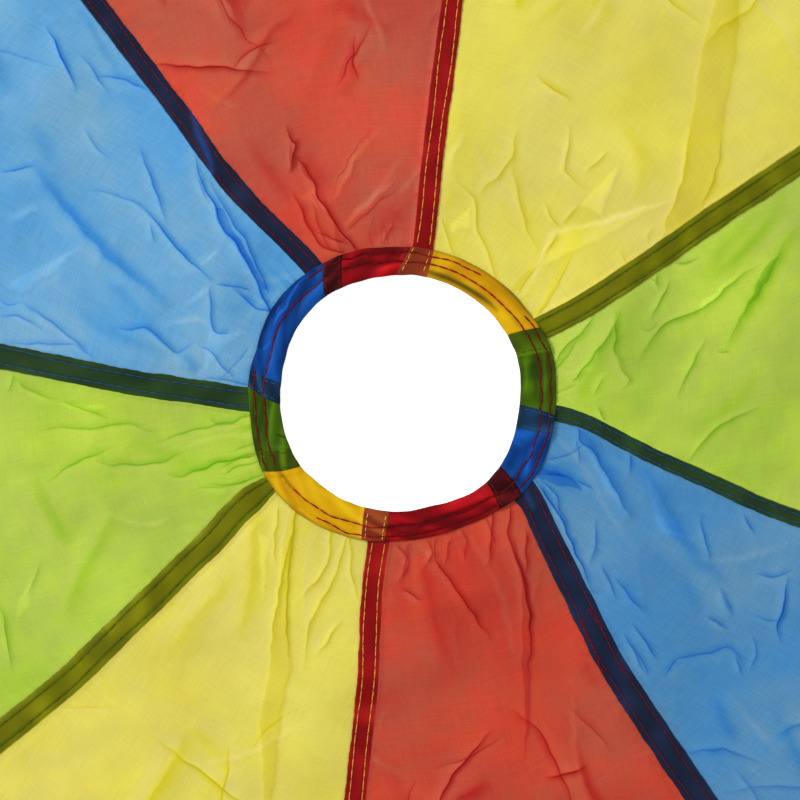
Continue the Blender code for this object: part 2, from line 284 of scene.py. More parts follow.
def waves(x, y, size, seed, count=16):
    """A smooth random field, about -2 to 2, with bumps of roughly the given size."""
    pick = np.random.default_rng(seed)
    total = np.zeros(np.shape(x))
    for _ in range(count):
        angle, phase = pick.uniform(0, 2 * math.pi, 2)
        pace = 2 * math.pi / (size * pick.uniform(0.75, 1.5))
        total = total + np.cos((x * math.cos(angle) + y * math.sin(angle)) * pace + phase)
    return total / math.sqrt(count / 2)


def seam_table(number):
    """Radii, the angle by which a seam lies off its own radius at each, and that radius."""
    own = gore_angle(number) - GORE / 2
    stops = []
    for x, y in places(SEAM_LINES[number]):
        stops.append((math.hypot(x, y), wrap(math.atan2(y, x) - own)))
    stops.sort()
    last, last_lean = stops[-1]
    inner, inner_lean = [stop for stop in stops if stop[0] < last - SLOPE_RUN][-1]
    slope = SLOPE_KEPT * (last_lean * last - inner_lean * inner) / (last - inner)
    way_back = SEAM_STRAIGHT_FROM - last
    for share in np.linspace(0, 1, 25)[1:]:
        reach = last + way_back * share
        kept = last_lean * last * (1 - ease(share))
        carried = way_back * slope * share * (1 - share) ** 2
        stops.append((reach, (kept + carried) / reach))
    stops.append((CANOPY, 0))
    reach = np.linspace(0.04, 0.9, 1200)
    radii, leans = zip(*stops)
    return reach, smoothed(np.interp(reach, radii, leans), 35, "edge"), own


SEAMS = {number: seam_table(number) for number in range(1, 9)}


def seam_angle(number, radius, gore):
    """Angle of a seam's middle line, counted from the middle of a gore beside it."""
    reach, lean, own = SEAMS[number]
    return np.interp(radius, reach, lean) + wrap(own - gore_angle(gore))


def seam_half(number, radius):
    """Half the width that a seam shows at a radius."""
    shown, at_hem = SEAM_SHOWN[number], SEAM_AT_HEM.get(number, 1)
    narrowed = at_hem + (1 - at_hem) * ease((radius - HEM_EDGE) / DRAWN_TOGETHER)
    return SEAM / 2 * (shown + (1 - shown) * ease((radius - EVEN_FROM) / EVEN_RUN)) * narrowed


def turned_angle(number, share, gore, strip_edge):
    """Angle of a turned seam's edge on the centre hem; share runs from the rim outwards."""
    degrees = TURNED_SEAMS[number][2:] if strip_edge else TURNED_SEAMS[number][:2]
    at_rim, at_edge = [wrap(math.radians(d) - PHOTO_TURN - gore_angle(gore)) for d in degrees]
    return at_rim + (at_edge - at_rim) * share


def hem_table(column):
    """Photo degrees, and how far from the middle an edge of the centre hem lies at each."""
    degrees = np.arange(0, 360, 0.5)
    stops = np.array(HEM_SHAPE)
    even = np.interp(degrees, stops[:, 0], stops[:, column], period=360)
    return degrees, smoothed(even, 15, "wrap") * MM


HEM_RIMS, HEM_EDGES = hem_table(1), hem_table(2)


def hem_drift(world, share):
    """How far out the centre hem lies from its even ring, at a share of its width."""
    degrees = np.degrees(world + PHOTO_TURN) % 360
    rim = np.interp(degrees, *HEM_RIMS, period=360) - RIM
    edge = np.interp(degrees, *HEM_EDGES, period=360) - HEM_EDGE
    return rim + (edge - rim) * ease(share / 0.5) + 0.07 * MM * waves(world, 0 * world, 0.12, 91)


# Relief of the cloth

# kind: height mm, half width mm, darkening beside it in cloth layers (painted shade; below nil a
# painted highlight), its half width mm, how much paler the other side is (painted highlight),
# strength of the thin dark line on its crest (doubled cloth with painted shade)
KINDS = {
    "sharp": (0.50, 3.0, 0.16, 1.3, 0.10, 1.0),
    "fine": (0.28, 1.8, 0.06, 0.9, 0.07, 0.6),
    "soft": (1.0, 6.0, 0.20, 2.6, 0.10, 0.0),
    "broad": (1.4, 9.0, 0.42, 2.4, 0.14, 0.30),
    "pale": (0.35, 1.8, -0.22, 1.1, 0.0, 0.0),
    "shade": (0.0, 3.0, 0.16, 3.4, 0.0, 0.0),
}
# Loose creases, not read off the photograph: kinds of the faint ones within the photograph, and
# kinds and odds of those past it. Loose creases that nobody can check: kinds of the faint ones
# within the photograph, and kinds and odds of those past it
FAINT_KINDS = ("fine", "soft", "pale")
LOOSE_KINDS, LOOSE_ODDS = ("sharp", "fine", "soft", "broad", "pale"), (0.35, 0.2, 0.2, 0.1, 0.15)

# Creases read off the photograph, gore by gore: kind, strength, pixels along it
CREASES = {
    1: (("broad", 1.0, (33, 163), (51, 191), (82, 227), (112, 258), (145, 286), (168, 314)),
        ("sharp", 0.8, (138, 144), (147, 166), (156, 191), (167, 227)),
        ("fine", 0.9, (87, 190), (112, 194), (135, 203), (156, 222)),
        ("sharp", 1.0, (135, 203), (156, 222), (173, 242), (194, 263), (214, 283)),
        ("sharp", 0.8, (214, 283), (230, 286), (245, 288)),
        ("sharp", 0.9, (230, 286), (237, 293), (255, 306), (270, 309)),
        ("sharp", 1.2, (196, 148), (204, 184), (217, 204), (224, 230), (235, 242), (245, 263),
         (258, 283), (270, 309)),
        ("sharp", 0.8, (212, 179), (224, 204), (235, 225), (245, 242), (255, 263), (268, 288)),
        ("sharp", 0.8, (210, 283), (210, 304), (214, 329), (224, 332)),
        ("sharp", 0.8, (115, 329), (138, 329), (153, 332), (166, 344), (179, 352), (196, 342)),
        ("soft", 1.0, (179, 352), (194, 373)),
        ("pale", 1.0, (8, 219), (38, 209)),
        ("pale", 1.0, (87, 242), (59, 259), (23, 293)),
        ("pale", 0.8, (91, 240), (64, 270), (28, 296)),
        ("fine", 1.2, (20, 299), (51, 322), (82, 344), (94, 360)),
        ("sharp", 0.8, (0, 172), (38, 166)),
        ("fine", 1.2, (0, 314), (20, 316), (46, 330)),
        ("sharp", 0.6, (0, 344), (46, 343), (79, 344), (92, 357)),
        ("fine", 1.2, (224, 378), (245, 385)),
        ("pale", 0.9, (200, 266), (222, 248)),
        ("fine", 0.8, (222, 378), (236, 366), (246, 352)),
        ("pale", 1.0, (182, 312), (199, 298), (213, 286)),
        ("shade", 1.0, (100, 270), (138, 318), (160, 330)),
        ("shade", 1.0, (30, 120), (44, 150), (52, 170)),
        ("fine", 0.8, (84, 128), (96, 150), (110, 160)),
        ("pale", 0.9, (240, 268), (262, 282), (290, 278)),
        ("soft", 0.6, (60, 300), (100, 330), (150, 350), (190, 368)),
        ("fine", 1.0, (152, 222), (153, 234), (158, 242)),
        ("fine", 1.1, (196, 342), (212, 350), (222, 362), (232, 374)),
        ("fine", 0.9, (188, 380), (220, 378), (246, 386)),
        ("pale", 1.0, (162, 330), (196, 322), (214, 330)),
        ("fine", 1.0, (198, 176), (206, 194), (212, 204)),
        ("fine", 0.8, (0, 296), (10, 304), (24, 300)),
        ("pale", 0.8, (262, 300), (246, 316), (236, 330)),
        ("shade", 0.9, (262, 286), (240, 300), (216, 310))),
    2: (("sharp", 1.0, (288, 125), (293, 140), (298, 146), (288, 174)),
        ("sharp", 1.1, (298, 158), (311, 176), (319, 199), (332, 217), (344, 235), (357, 250)),
        ("sharp", 0.9, (288, 191), (298, 204), (311, 227), (324, 248), (342, 253)),
        ("fine", 1.3, (324, 235), (342, 242)),
        ("pale", 1.0, (329, 204), (339, 179), (365, 135)),
        ("pale", 1.0, (349, 222), (372, 199), (400, 179)),
        ("pale", 0.9, (400, 197), (423, 168)),
        ("fine", 0.8, (329, 206), (333, 190), (344, 168), (372, 128)),
        ("fine", 0.7, (310, 200), (330, 250)),
        ("shade", 1.0, (300, 150), (322, 190)),
        ("pale", 0.8, (356, 212), (380, 190), (410, 150)),
        ("fine", 0.7, (352, 226), (376, 204), (404, 186)),
        ("soft", 0.6, (246, 140), (268, 180), (300, 220)),
        ("pale", 0.9, (336, 198), (356, 160), (384, 128)),
        ("shade", 0.8, (392, 214), (374, 230), (362, 246)),
        ("fine", 0.8, (392, 226), (386, 238), (384, 246))),
    3: (("sharp", 0.7, (516, 125), (512, 143), (508, 162), (497, 181), (482, 199)),
        ("sharp", 0.7, (510, 163), (517, 186), (522, 212), (528, 235), (538, 253)),
        ("fine", 1.2, (454, 179), (466, 191), (478, 202), (477, 227), (484, 248), (497, 278)),
        ("fine", 1.1, (442, 225), (455, 255)),
        ("pale", 1.2, (535, 273), (545, 250), (558, 230), (609, 222), (670, 199)),
        ("sharp", 0.8, (558, 230), (543, 255)),
        ("fine", 1.3, (573, 125), (568, 151), (563, 171), (584, 191)),
        ("fine", 1.2, (607, 153), (581, 176)),
        ("fine", 1.3, (545, 202), (551, 214), (561, 227)),
        ("fine", 1.1, (581, 204), (563, 222)),
        ("pale", 1.0, (619, 161), (604, 197), (596, 217)),
        ("sharp", 0.8, (535, 319), (553, 293), (573, 248)),
        ("fine", 1.2, (538, 316), (563, 270)),
        ("fine", 1.2, (691, 125), (683, 166), (676, 194), (665, 232)),
        ("fine", 1.2, (725, 125), (716, 166), (706, 191), (700, 209)),
        ("soft", 0.7, (620, 125), (640, 160), (636, 200)),
        ("pale", 0.9, (470, 130), (488, 170), (520, 215)),
        ("shade", 0.9, (590, 200), (570, 240), (548, 270)),
        ("pale", 1.0, (452, 178), (450, 160), (466, 128)),
        ("fine", 0.8, (500, 282), (506, 290), (516, 296)),
        ("fine", 1.0, (522, 288), (528, 276), (536, 266)),
        ("fine", 0.8, (618, 250), (622, 262), (620, 272)),
        ("fine", 0.8, (655, 226), (650, 236), (646, 246)),
        ("pale", 0.8, (574, 130), (566, 156), (564, 176))),
    4: (("sharp", 0.9, (619, 309), (617, 324), (576, 375)),
        ("sharp", 0.7, (619, 309), (614, 344), (624, 365)),
        ("sharp", 0.8, (604, 306), (584, 332), (563, 350), (554, 365)),
        ("sharp", 0.9, (762, 263), (732, 283), (701, 309), (665, 324), (650, 339), (635, 360)),
        ("broad", 0.8, (800, 222), (780, 250), (767, 273), (752, 299), (734, 329), (725, 350)),
        ("sharp", 0.8, (707, 337), (693, 365), (673, 398)),
        ("fine", 1.4, (670, 263), (686, 263), (698, 256)),
        ("fine", 1.2, (655, 270), (654, 286)),
        ("fine", 1.3, (670, 278), (649, 322)),
        ("soft", 0.9, (762, 204), (719, 248), (701, 278)),
        ("fine", 1.2, (716, 352), (732, 351)),
        ("fine", 1.2, (596, 405), (609, 428)),
        ("fine", 1.2, (757, 408), (721, 423), (704, 441), (686, 464)),
        ("pale", 1.0, (712, 330), (700, 360), (682, 396)),
        ("pale", 1.0, (790, 256), (772, 300), (742, 345)),
        ("soft", 0.6, (640, 300), (600, 350), (580, 390)),
        ("shade", 1.0, (760, 360), (730, 400), (690, 430)),
        ("soft", 0.9, (783, 204), (752, 236), (728, 262), (704, 278)),
        ("pale", 0.9, (800, 212), (770, 236), (740, 262)),
        ("fine", 1.0, (643, 278), (652, 282), (656, 290)),
        ("fine", 0.9, (638, 330), (648, 331), (656, 322)),
        ("fine", 0.9, (614, 352), (622, 366), (628, 378), (620, 388)),
        ("fine", 0.9, (606, 372), (600, 382), (592, 396)),
        ("fine", 1.0, (555, 372), (566, 356), (572, 348)),
        ("fine", 0.8, (553, 398), (562, 390), (570, 386)),
        ("pale", 0.9, (800, 300), (776, 330), (760, 352))),
    5: (("soft", 1.0, (579, 423), (589, 448), (604, 469), (619, 494), (635, 520)),
        ("fine", 1.2, (631, 448), (630, 477)),
        ("fine", 1.3, (548, 474), (566, 477), (579, 489)),
        ("fine", 1.2, (573, 479), (591, 489)),
        ("sharp", 1.2, (535, 484), (548, 499), (563, 522), (576, 551), (586, 576), (590, 589),
         (599, 596)),
        ("sharp", 0.7, (595, 515), (596, 538), (589, 566)),
        ("fine", 1.2, (601, 563), (604, 573), (618, 599)),
        ("sharp", 0.7, (612, 576), (630, 594), (647, 612)),
        ("fine", 1.2, (701, 512), (706, 538), (711, 563)),
        ("fine", 1.2, (742, 512), (749, 525), (757, 535)),
        ("sharp", 0.7, (753, 573), (770, 576), (793, 568)),
        ("sharp", 1.2, (786, 574), (783, 599), (779, 619), (781, 640)),
        ("shade", 2.4, (534, 466), (548, 473), (563, 482), (580, 491)),
        ("sharp", 0.6, (721, 589), (732, 617)),
        ("fine", 1.2, (706, 617), (729, 630)),
        ("fine", 1.4, (632, 619), (645, 640), (660, 660)),
        ("fine", 1.3, (622, 630), (635, 653), (645, 673)),
        ("sharp", 0.7, (665, 676), (676, 658), (706, 653), (729, 650), (747, 668)),
        ("pale", 1.0, (560, 440), (600, 500), (640, 560)),
        ("soft", 0.8, (640, 480), (680, 540), (740, 600)),
        ("shade", 1.0, (600, 440), (660, 500), (700, 580)),
        ("pale", 0.8, (690, 560), (740, 560), (790, 545)),
        ("sharp", 0.8, (577, 425), (580, 440), (592, 452), (611, 484), (634, 518)),
        ("fine", 1.0, (552, 457), (566, 454), (578, 448)),
        ("fine", 1.0, (576, 444), (577, 464)),
        ("fine", 1.1, (545, 484), (556, 496), (560, 512), (568, 520)),
        ("sharp", 0.7, (667, 675), (672, 664), (678, 658)),
        ("fine", 1.1, (734, 655), (738, 664), (740, 676)),
        ("fine", 1.0, (752, 634), (757, 652), (748, 674)),
        ("fine", 0.9, (719, 586), (726, 606), (730, 618)),
        ("fine", 0.9, (752, 612), (772, 618), (784, 612)),
        ("fine", 0.9, (632, 648), (644, 662), (648, 676)),
        ("shade", 0.9, (676, 578), (690, 600), (704, 612))),
    6: (("sharp", 0.9, (438, 561), (461, 594), (484, 624), (494, 640)),
        ("fine", 1.3, (400, 589), (423, 602)),
        ("sharp", 0.8, (526, 535), (525, 576)),
        ("sharp", 0.9, (493, 515), (488, 553), (483, 566)),
        ("sharp", 0.9, (510, 512), (508, 543), (520, 573), (528, 604), (531, 630), (529, 676)),
        ("soft", 0.7, (420, 560), (430, 620), (450, 676)),
        ("pale", 0.8, (470, 540), (500, 600), (516, 660)),
        ("fine", 1.0, (450, 540), (446, 556)),
        ("fine", 1.0, (410, 545), (404, 575)),
        ("fine", 1.2, (427, 537), (433, 548), (429, 558)),
        ("fine", 1.0, (438, 537), (434, 552)),
        ("fine", 1.0, (400, 547), (410, 560), (403, 577)),
        ("fine", 0.9, (482, 516), (489, 528), (492, 540)),
        ("fine", 0.9, (462, 528), (466, 540), (464, 552)),
        ("pale", 0.9, (418, 542), (428, 552), (440, 546)),
        ("shade", 0.9, (402, 556), (398, 590), (402, 620))),
    7: (("fine", 1.2, (278, 512), (277, 553), (279, 568)),
        ("soft", 1.0, (255, 515), (251, 566), (245, 604), (237, 642)),
        ("fine", 1.3, (330, 533), (327, 563), (301, 599)),
        ("sharp", 0.7, (347, 538), (332, 579), (311, 622), (301, 670)),
        ("fine", 1.2, (351, 535), (351, 573), (360, 604)),
        ("fine", 1.2, (342, 619), (316, 653)),
        ("sharp", 0.9, (293, 510), (291, 543), (283, 579), (276, 617), (268, 676)),
        ("sharp", 0.8, (293, 510), (292, 553), (288, 604), (290, 676)),
        ("soft", 0.8, (240, 560), (200, 610), (160, 660)),
        ("pale", 0.9, (310, 540), (305, 600), (320, 660))),
    8: (("sharp", 0.7, (38, 433), (61, 429), (94, 431), (120, 424), (138, 424), (158, 431)),
        ("sharp", 0.8, (48, 482), (74, 464), (112, 448)),
        ("sharp", 0.8, (94, 460), (115, 464), (158, 463), (176, 455), (189, 448)),
        ("soft", 1.0, (36, 471), (38, 494), (54, 528), (66, 548)),
        ("sharp", 0.7, (64, 400), (84, 410), (110, 420)),
        ("sharp", 1.0, (166, 474), (179, 477), (212, 466), (250, 456)),
        ("fine", 1.3, (204, 484), (230, 484), (263, 474)),
        ("fine", 1.3, (153, 441), (189, 431), (219, 426), (245, 418)),
        ("sharp", 0.8, (0, 604), (9, 640), (13, 670)),
        ("soft", 0.8, (120, 500), (90, 560), (60, 620)),
        ("pale", 0.9, (180, 450), (216, 440), (250, 436)),
        ("shade", 1.0, (130, 440), (190, 470), (230, 470)),
        ("fine", 1.0, (12, 372), (13, 384), (8, 394)),
        ("fine", 1.0, (15, 380), (30, 390), (60, 400)),
        ("fine", 1.0, (208, 418), (218, 427), (237, 420)),
        ("fine", 1.1, (226, 466), (240, 458), (256, 452)),
        ("fine", 1.1, (228, 472), (244, 465), (258, 461)),
        ("fine", 1.0, (240, 449), (249, 445), (256, 441)),
        ("fine", 0.9, (196, 487), (222, 486), (244, 480)),
        ("pale", 0.9, (108, 510), (140, 526), (172, 520)),
        ("fine", 0.8, (43, 560), (38, 580), (30, 596))),
}

# Cloth folded double, and flat facets that catch the light: pixels round each patch
DOUBLED = {
    1: (((217, 207), (224.5, 230), (231, 238.5), (245, 263), (263, 288.5), (269, 289.5),
         (251.5, 263), (236, 236), (224.5, 209)),),
    2: (((291, 139), (293.5, 153), (301, 158), (289.5, 173.5)),
        ((298.5, 158), (307, 165), (314, 186), (303, 173)),
        ((334, 221), (342, 236), (352, 246), (360, 250), (340, 253), (336, 236))),
    3: (((738, -80), (735, 60), (724.5, 124), (714, 176), (702, 210), (710, 232), (654, 256),
         (664.5, 232), (680.5, 179), (690, 124), (702, 50)),
        ((516, 281), (527, 269), (533, 270), (522, 288), (512, 290))),
    4: (((780, 251), (760, 273), (752, 296), (731.5, 332), (725, 347), (744.5, 314),
         (767.5, 283)),),
    5: (((536, 466), (556, 472), (574, 484), (580, 490), (560, 486), (540, 478)),),
    6: (((510, 540), (513.5, 563), (520, 580), (522.5, 604), (523, 640), (526, 780), (531.5, 642),
         (532.5, 617), (527.5, 586), (518.5, 563)),),
    7: (((288.5, 505), (285.5, 543), (279.5, 594), (272, 650), (262, 720), (262, 860), (282, 730),
         (288.5, 675), (289.5, 629.5), (288.5, 599), (292, 553), (292.5, 510)),),
    8: (),
}
PALE = {
    1: (((86.5, 242.5), (58.5, 258), (8, 286), (24, 293.5), (58.5, 268)),
        ((199, 264), (222, 247), (213, 257)), ((209, 332), (246, 330), (224, 348), (205, 374)),
        ((10, 219), (39, 208), (20, 222))),
    2: (((329, 205), (347, 172), (365, 135), (349, 180)), ((349, 222), (374, 196), (400, 178),
        (376, 204)), ((296, 196), (320, 186), (330, 214), (318, 210))),
    3: (((558, 230), (671.5, 200.5), (614.5, 231), (578.5, 247.5), (543, 264)),
        ((581, 204), (617, 163.5), (609, 191.5), (601.5, 214.5)),
        ((448.5, 224.5), (471.5, 209.5), (469, 227), (451, 232))),
    4: (((697, 304), (744, 268), (700, 318)), ((576, 372), (600, 344), (590, 372))),
    5: (((578, 440), (598, 470), (628, 512), (604, 490)), ((640, 470), (690, 540), (660, 530))),
    6: (((400, 560), (430, 548), (420, 574)),),
    7: (((262, 530), (272, 540), (262, 600)),),
    8: (((40, 575), (20, 600), (16, 622), (30, 606)), ((60, 404), (110, 408), (90, 416))),
}
# Which patches each table gives, and how high a step they make, in mm
PATCHES = {"double_edge": (DOUBLED, 0.35), "pale_edge": (PALE, 0.2)}

# Shadows and gleams on the turned centre hem: strength (a gleam is below nil), half width and
# places along it in pixels
HEM_MARKS = {
    1: ((1.0, 2.4, (284, 299), (272, 312), (262.5, 333), (257, 349)),
        (-1.5, 1.5, (312, 274), (300, 282), (289.5, 298), (286, 308), (277, 317), (272, 337)),
        (-1.2, 1.3, (258, 351), (267, 347), (271, 338)),
        (0.5, 3.5, (293, 330), (284, 352), (280, 372))),
    2: ((-0.8, 4, (372, 259), (388, 258)), (-0.6, 3, (376, 270), (390, 266)),
        (0.6, 4, (348, 270), (366, 258))),
    3: ((1.1, 2.4, (421.5, 270), (449, 279), (470.5, 290.5), (487, 301.5), (496.5, 310.5)),
        (0.35, 5, (500, 286), (519, 300), (530, 318))),
    4: ((-0.9, 3.5, (525, 352), (526, 380), (524, 398)),
        (0.6, 2.5, (533, 350), (536, 375), (535, 400)),
        (-0.6, 1.8, (543, 350), (545, 380), (543, 405))),
    5: ((-1.2, 3.0, (538, 437.5), (531, 451), (527, 466), (524.5, 479)),
        (0.6, 4.5, (518, 446), (513, 458), (506, 470)), (0.8, 3, (511, 480), (520, 478)),
        (-0.6, 2, (513, 441), (522, 446))),
    6: ((-0.9, 3.0, (440, 508), (465, 496.5), (486, 480)),
        (0.8, 2.2, (408, 531), (438, 518.5), (465, 509.5)), (-0.4, 2.5, (470, 506), (490, 495))),
    7: ((-0.6, 5, (306, 474), (317, 487.5), (332, 498)), (0.45, 1.6, (280, 472), (295, 491)),
        (-0.6, 1.2, (267, 473.5), (279, 487.5), (295, 505), (317, 520)),
        (-0.5, 3, (345, 507), (360, 511))),
    8: ((1.0, 1.0, (275, 434), (288, 438)), (0.8, 0.8, (279, 448), (293, 450)),
        (-0.6, 3, (276, 446), (290, 452)), (0.5, 2, (268, 420), (266, 440)),
        (-0.5, 2.5, (252, 420), (256, 440))),
}

# The cloth is held down at both hems: the run over which it comes up from the centre hem, then
# where it comes down to the outer one and over which run
RISE_RUN = 28 * MM
FALL_FROM, FALL_RUN = 770 * MM, 75 * MM
# Where it starts to billow more freely, and the run over which it does
FREE_FROM, FREE_RUN = 200 * MM, 250 * MM
# How far the photograph shows cloth from the hole's centre: to each side, down and up, in pixels
SHOWN_ASIDE, SHOWN_BELOW, SHOWN_ABOVE = 410, 292, 279
# Creases stray a little from the lines read: how far, and over which distance
FINE_STRAY, WIDE_STRAY = (0.22 * MM, 9 * MM), (0.5 * MM, 40 * MM)
# A crease that ends nearer to the middle than this runs on under the centre hem
UNDER_HEM = 80 * MM
# Loose creases: how many are tried, how many of them near the middle, where those and all
# the others may lie, and how far they keep from the ones read
LOOSE, LOOSE_NEAR = 150, 46
LOOSE_FROM, LOOSE_NEAR_TO, LOOSE_TO = 80 * MM, 260 * MM, 850 * MM
LOOSE_CLEAR = 16 * MM
# Long folds: their places across a gore and how high they are, in mm
FOLD_PLACES = (0.16, 0.33, 0.5, 0.67, 0.84)
FOLD_LOW, FOLD_HIGH = 1.8, 6.5
# Crumple: size in mm, seed and height in mm of each kind of bump
CRUMPLES = ((42, 31, 0.32), (19, 32, 0.12), (90, 33, 0.6))
# Gathers: the hem's edge that they start at, their size and depth in mm, and their seed
GATHERS = ((HEM_EDGE, 6.5, 17, 41), (OUTER_EDGE, 16, 60, 42))
# Further from a crease or a patch's edge than anything shows, in mm
FAR_OFF = 9.0


def along(x, y, points):
    """Distance from a line of points, how far along it (0-1) and on which side each place is."""
    best = np.full(x.shape, 1e9)
    place = np.zeros(x.shape)
    side = np.ones(x.shape)
    lengths = [math.dist(a, b) for a, b in zip(points, points[1:])]
    done = 0
    for (ax, ay), (bx, by), length in zip(points, points[1:], lengths):
        ux, uy = (bx - ax) / length, (by - ay) / length
        run = (x - ax) * ux + (y - ay) * uy
        held = np.clip(run, 0, length)
        off = np.hypot(x - ax - held * ux, y - ay - held * uy)
        nearer = off < best
        best = np.where(nearer, off, best)
        place = np.where(nearer, (done + held) / sum(lengths), place)
        side = np.where(nearer, np.sign((y - ay) * ux - (x - ax) * uy), side)
        done += length
    return best, place, side


def rounded(points, steps=4):
    """A smoother run through the same points."""
    knots = [Vector((x, y, 0)) for x, y in points]
    last = len(knots) - 1
    if last < 2:
        return points
    out = []
    for i in range(last):
        a, b = knots[i], knots[i + 1]
        pull_a = (b - knots[max(i - 1, 0)]) / 6
        pull_b = (knots[min(i + 2, last)] - a) / 6
        run = interpolate_bezier(a, a + pull_a, b - pull_b, b, steps + 1)
        out += [(p.x, p.y) for p in (run if not out else run[1:])]
    return out


def hem_marks(number, x, y):
    """Shadow above nil and gleam below it, over one gore's centre hem."""
    total = np.zeros(x.shape)
    for strength, half, *pixels in HEM_MARKS[number]:
        off, place, _ = along(x, y, rounded(places(pixels)))
        taper = np.clip(place / 0.25, 0, 1) * np.clip((1 - place) / 0.25, 0, 1)
        total += strength * np.exp(-(off / (half * PIXEL)) ** 2) * (0.25 + 0.75 * taper)
    return total


class Relief:
    """Height of the cloth and how many layers the light goes through, at a set of places."""

    def __init__(self, x, y):
        self.x, self.y = x, y
        (fine, fine_size), (wide, wide_size) = FINE_STRAY, WIDE_STRAY
        self.warped_x, self.warped_y = (
            at + fine * waves(x, y, fine_size, seed) + wide * waves(x, y, wide_size, seed + 2)
            for at, seed in ((x, 71), (y, 72)))
        self.height = np.zeros(x.shape)
        self.layers = np.zeros(x.shape)
        # Thin dark lines of the creases, with their painted shade and highlight: distance in mm and
        # strength, in three sets to keep neighbours apart
        self.place = np.full((len(x), 3), FAR_OFF)
        self.weight = np.zeros((len(x), 3))
        self.edges = {which: np.full(x.shape, -FAR_OFF) for which in PATCHES}

    def near(self, points, reach):
        """Which places lie within reach of the box round these points."""
        xs, ys = zip(*points)
        return np.nonzero((self.x > min(xs) - reach) & (self.x < max(xs) + reach)
                          & (self.y > min(ys) - reach) & (self.y < max(ys) + reach))[0]

    def crease(self, points, kind, strength, grow=1.0, fade=(True, True), apart=0):
        """A crease along a line: grow times its usual size, fading out at either end."""
        height, half, dark, dark_half, pale, core = KINDS[kind]
        half, dark_half = half * MM * grow ** 0.8, dark_half * MM * grow ** 0.5
        near = self.near(points, 4 * max(half, dark_half))
        if not len(near):
            return
        off, place, side = along(self.warped_x[near], self.warped_y[near], points)
        swell = np.ones(place.shape)
        for fades, left in zip(fade, (place, 1 - place)):
            if fades:
                swell = swell * np.clip(left / 0.35, 0, 1) ** 0.7
        swell = swell * strength
        signed = off * side
        if kind in ("soft", "broad", "shade"):
            form = 0.7 * np.exp(-(signed / half) ** 2) + 0.3 * np.exp(-off / (half * 0.4))
        else:
            # Steep on one side, drawn out on the other
            form = np.exp(-off / (half * np.where(signed > 0, 0.4, 1.7)))
        self.height[near] += height * MM * grow ** 0.5 * swell * form
        # Painted shade along one side of the crease, and a painted highlight (glow) along the other
        line = np.exp(-((signed - 0.45 * dark_half) / dark_half) ** 2)
        glow = np.exp(-((signed + 1.9 * dark_half) / (1.7 * dark_half)) ** 2)
        self.layers[near] += swell * (dark * line - pale * glow)
        # The thin dark line on the crest: doubled cloth with painted shade beside it
        if core:
            scaled = signed / grow ** 0.6 / MM
            beside = near[np.abs(scaled) < 5]
            room = [np.abs(self.place[beside, g]).min() if len(beside) else FAR_OFF
                    for g in range(3)]
            group = int(np.argmax(room))
            if room[group] < apart:
                return
            nearer = np.abs(scaled) < np.abs(self.place[near, group])
            at = near[nearer]
            thin = 1 - ease((off / grow / MM - 1.4) / 2.2)
            self.place[at, group] = scaled[nearer]
            self.weight[at, group] = (core * swell * thin)[nearer]

    def patch(self, points, which):
        """A facet a little higher than the cloth round it, and how far in each place lies."""
        near = self.near(points, FAR_OFF * MM)
        if not len(near):
            return
        x, y = self.warped_x[near], self.warped_y[near]
        ring = points + points[:1]
        off = along(x, y, ring)[0]
        inside = np.zeros(x.shape, dtype=bool)
        for (ax, ay), (bx, by) in zip(ring, ring[1:]):
            rise = by - ay if by != ay else 1e-9
            inside ^= ((ay > y) != (by > y)) & (x < ax + (y - ay) * (bx - ax) / rise)
        edge = np.where(inside, off, -off)
        self.edges[which][near] = np.maximum(self.edges[which][near], edge / MM)
        self.height[near] += PATCHES[which][1] * MM * ease(edge / (1.6 * MM) + 0.5)


def in_photo(x, y):
    """Whether a place on the cloth lies within the photograph's picture."""
    turn, lean = math.cos(PHOTO_TURN), math.sin(PHOTO_TURN)
    right, up = (x * turn - y * lean) / PIXEL, (x * lean + y * turn) / PIXEL
    return abs(right) < SHOWN_ASIDE and -SHOWN_BELOW < up < SHOWN_ABOVE


def rise_over(radius):
    """How freely the cloth lifts at a radius: held down at both hems."""
    return ease((radius - HEM_EDGE) / RISE_RUN) * (1 - ease((radius - FALL_FROM) / FALL_RUN))


def ground(x, y):
    """Slow billows that all gores, seams and stitches share."""
    radius = np.hypot(x, y)
    far = ease((radius - FREE_FROM) / FREE_RUN)
    slow = waves(x, y, 95 * MM, 11) * 0.8 + waves(x, y, 210 * MM, 12) * 1.3 * far
    mid = waves(x, y, 38 * MM, 13) * 0.35
    height = 0.35 + rise_over(radius) * (1.5 + 0.9 * slow + mid + 1.6 * far)
    return np.maximum(height, 0.15 + 0.05 * height) * MM


def gore_relief(number, x, y):
    """Creases, doubled cloth, crumple and gathers of one gore."""
    relief = Relief(x, y)
    read = []
    for kind, strength, *pixels in CREASES[number]:
        points = rounded(places(pixels))
        read += points
        ends = [math.hypot(*points[end]) > UNDER_HEM for end in (0, -1)]
        relief.crease(points, kind, strength, fade=ends)
    for which, (table, _) in PATCHES.items():
        for pixels in table[number]:
            relief.patch(places(pixels), which)
    loose_creases(relief, number, read)
    long_folds(relief, number)
    crumple(relief, number)
    gathers(relief)
    relief.height *= rise_over(np.hypot(x, y)) * 0.85 + 0.15
    return relief


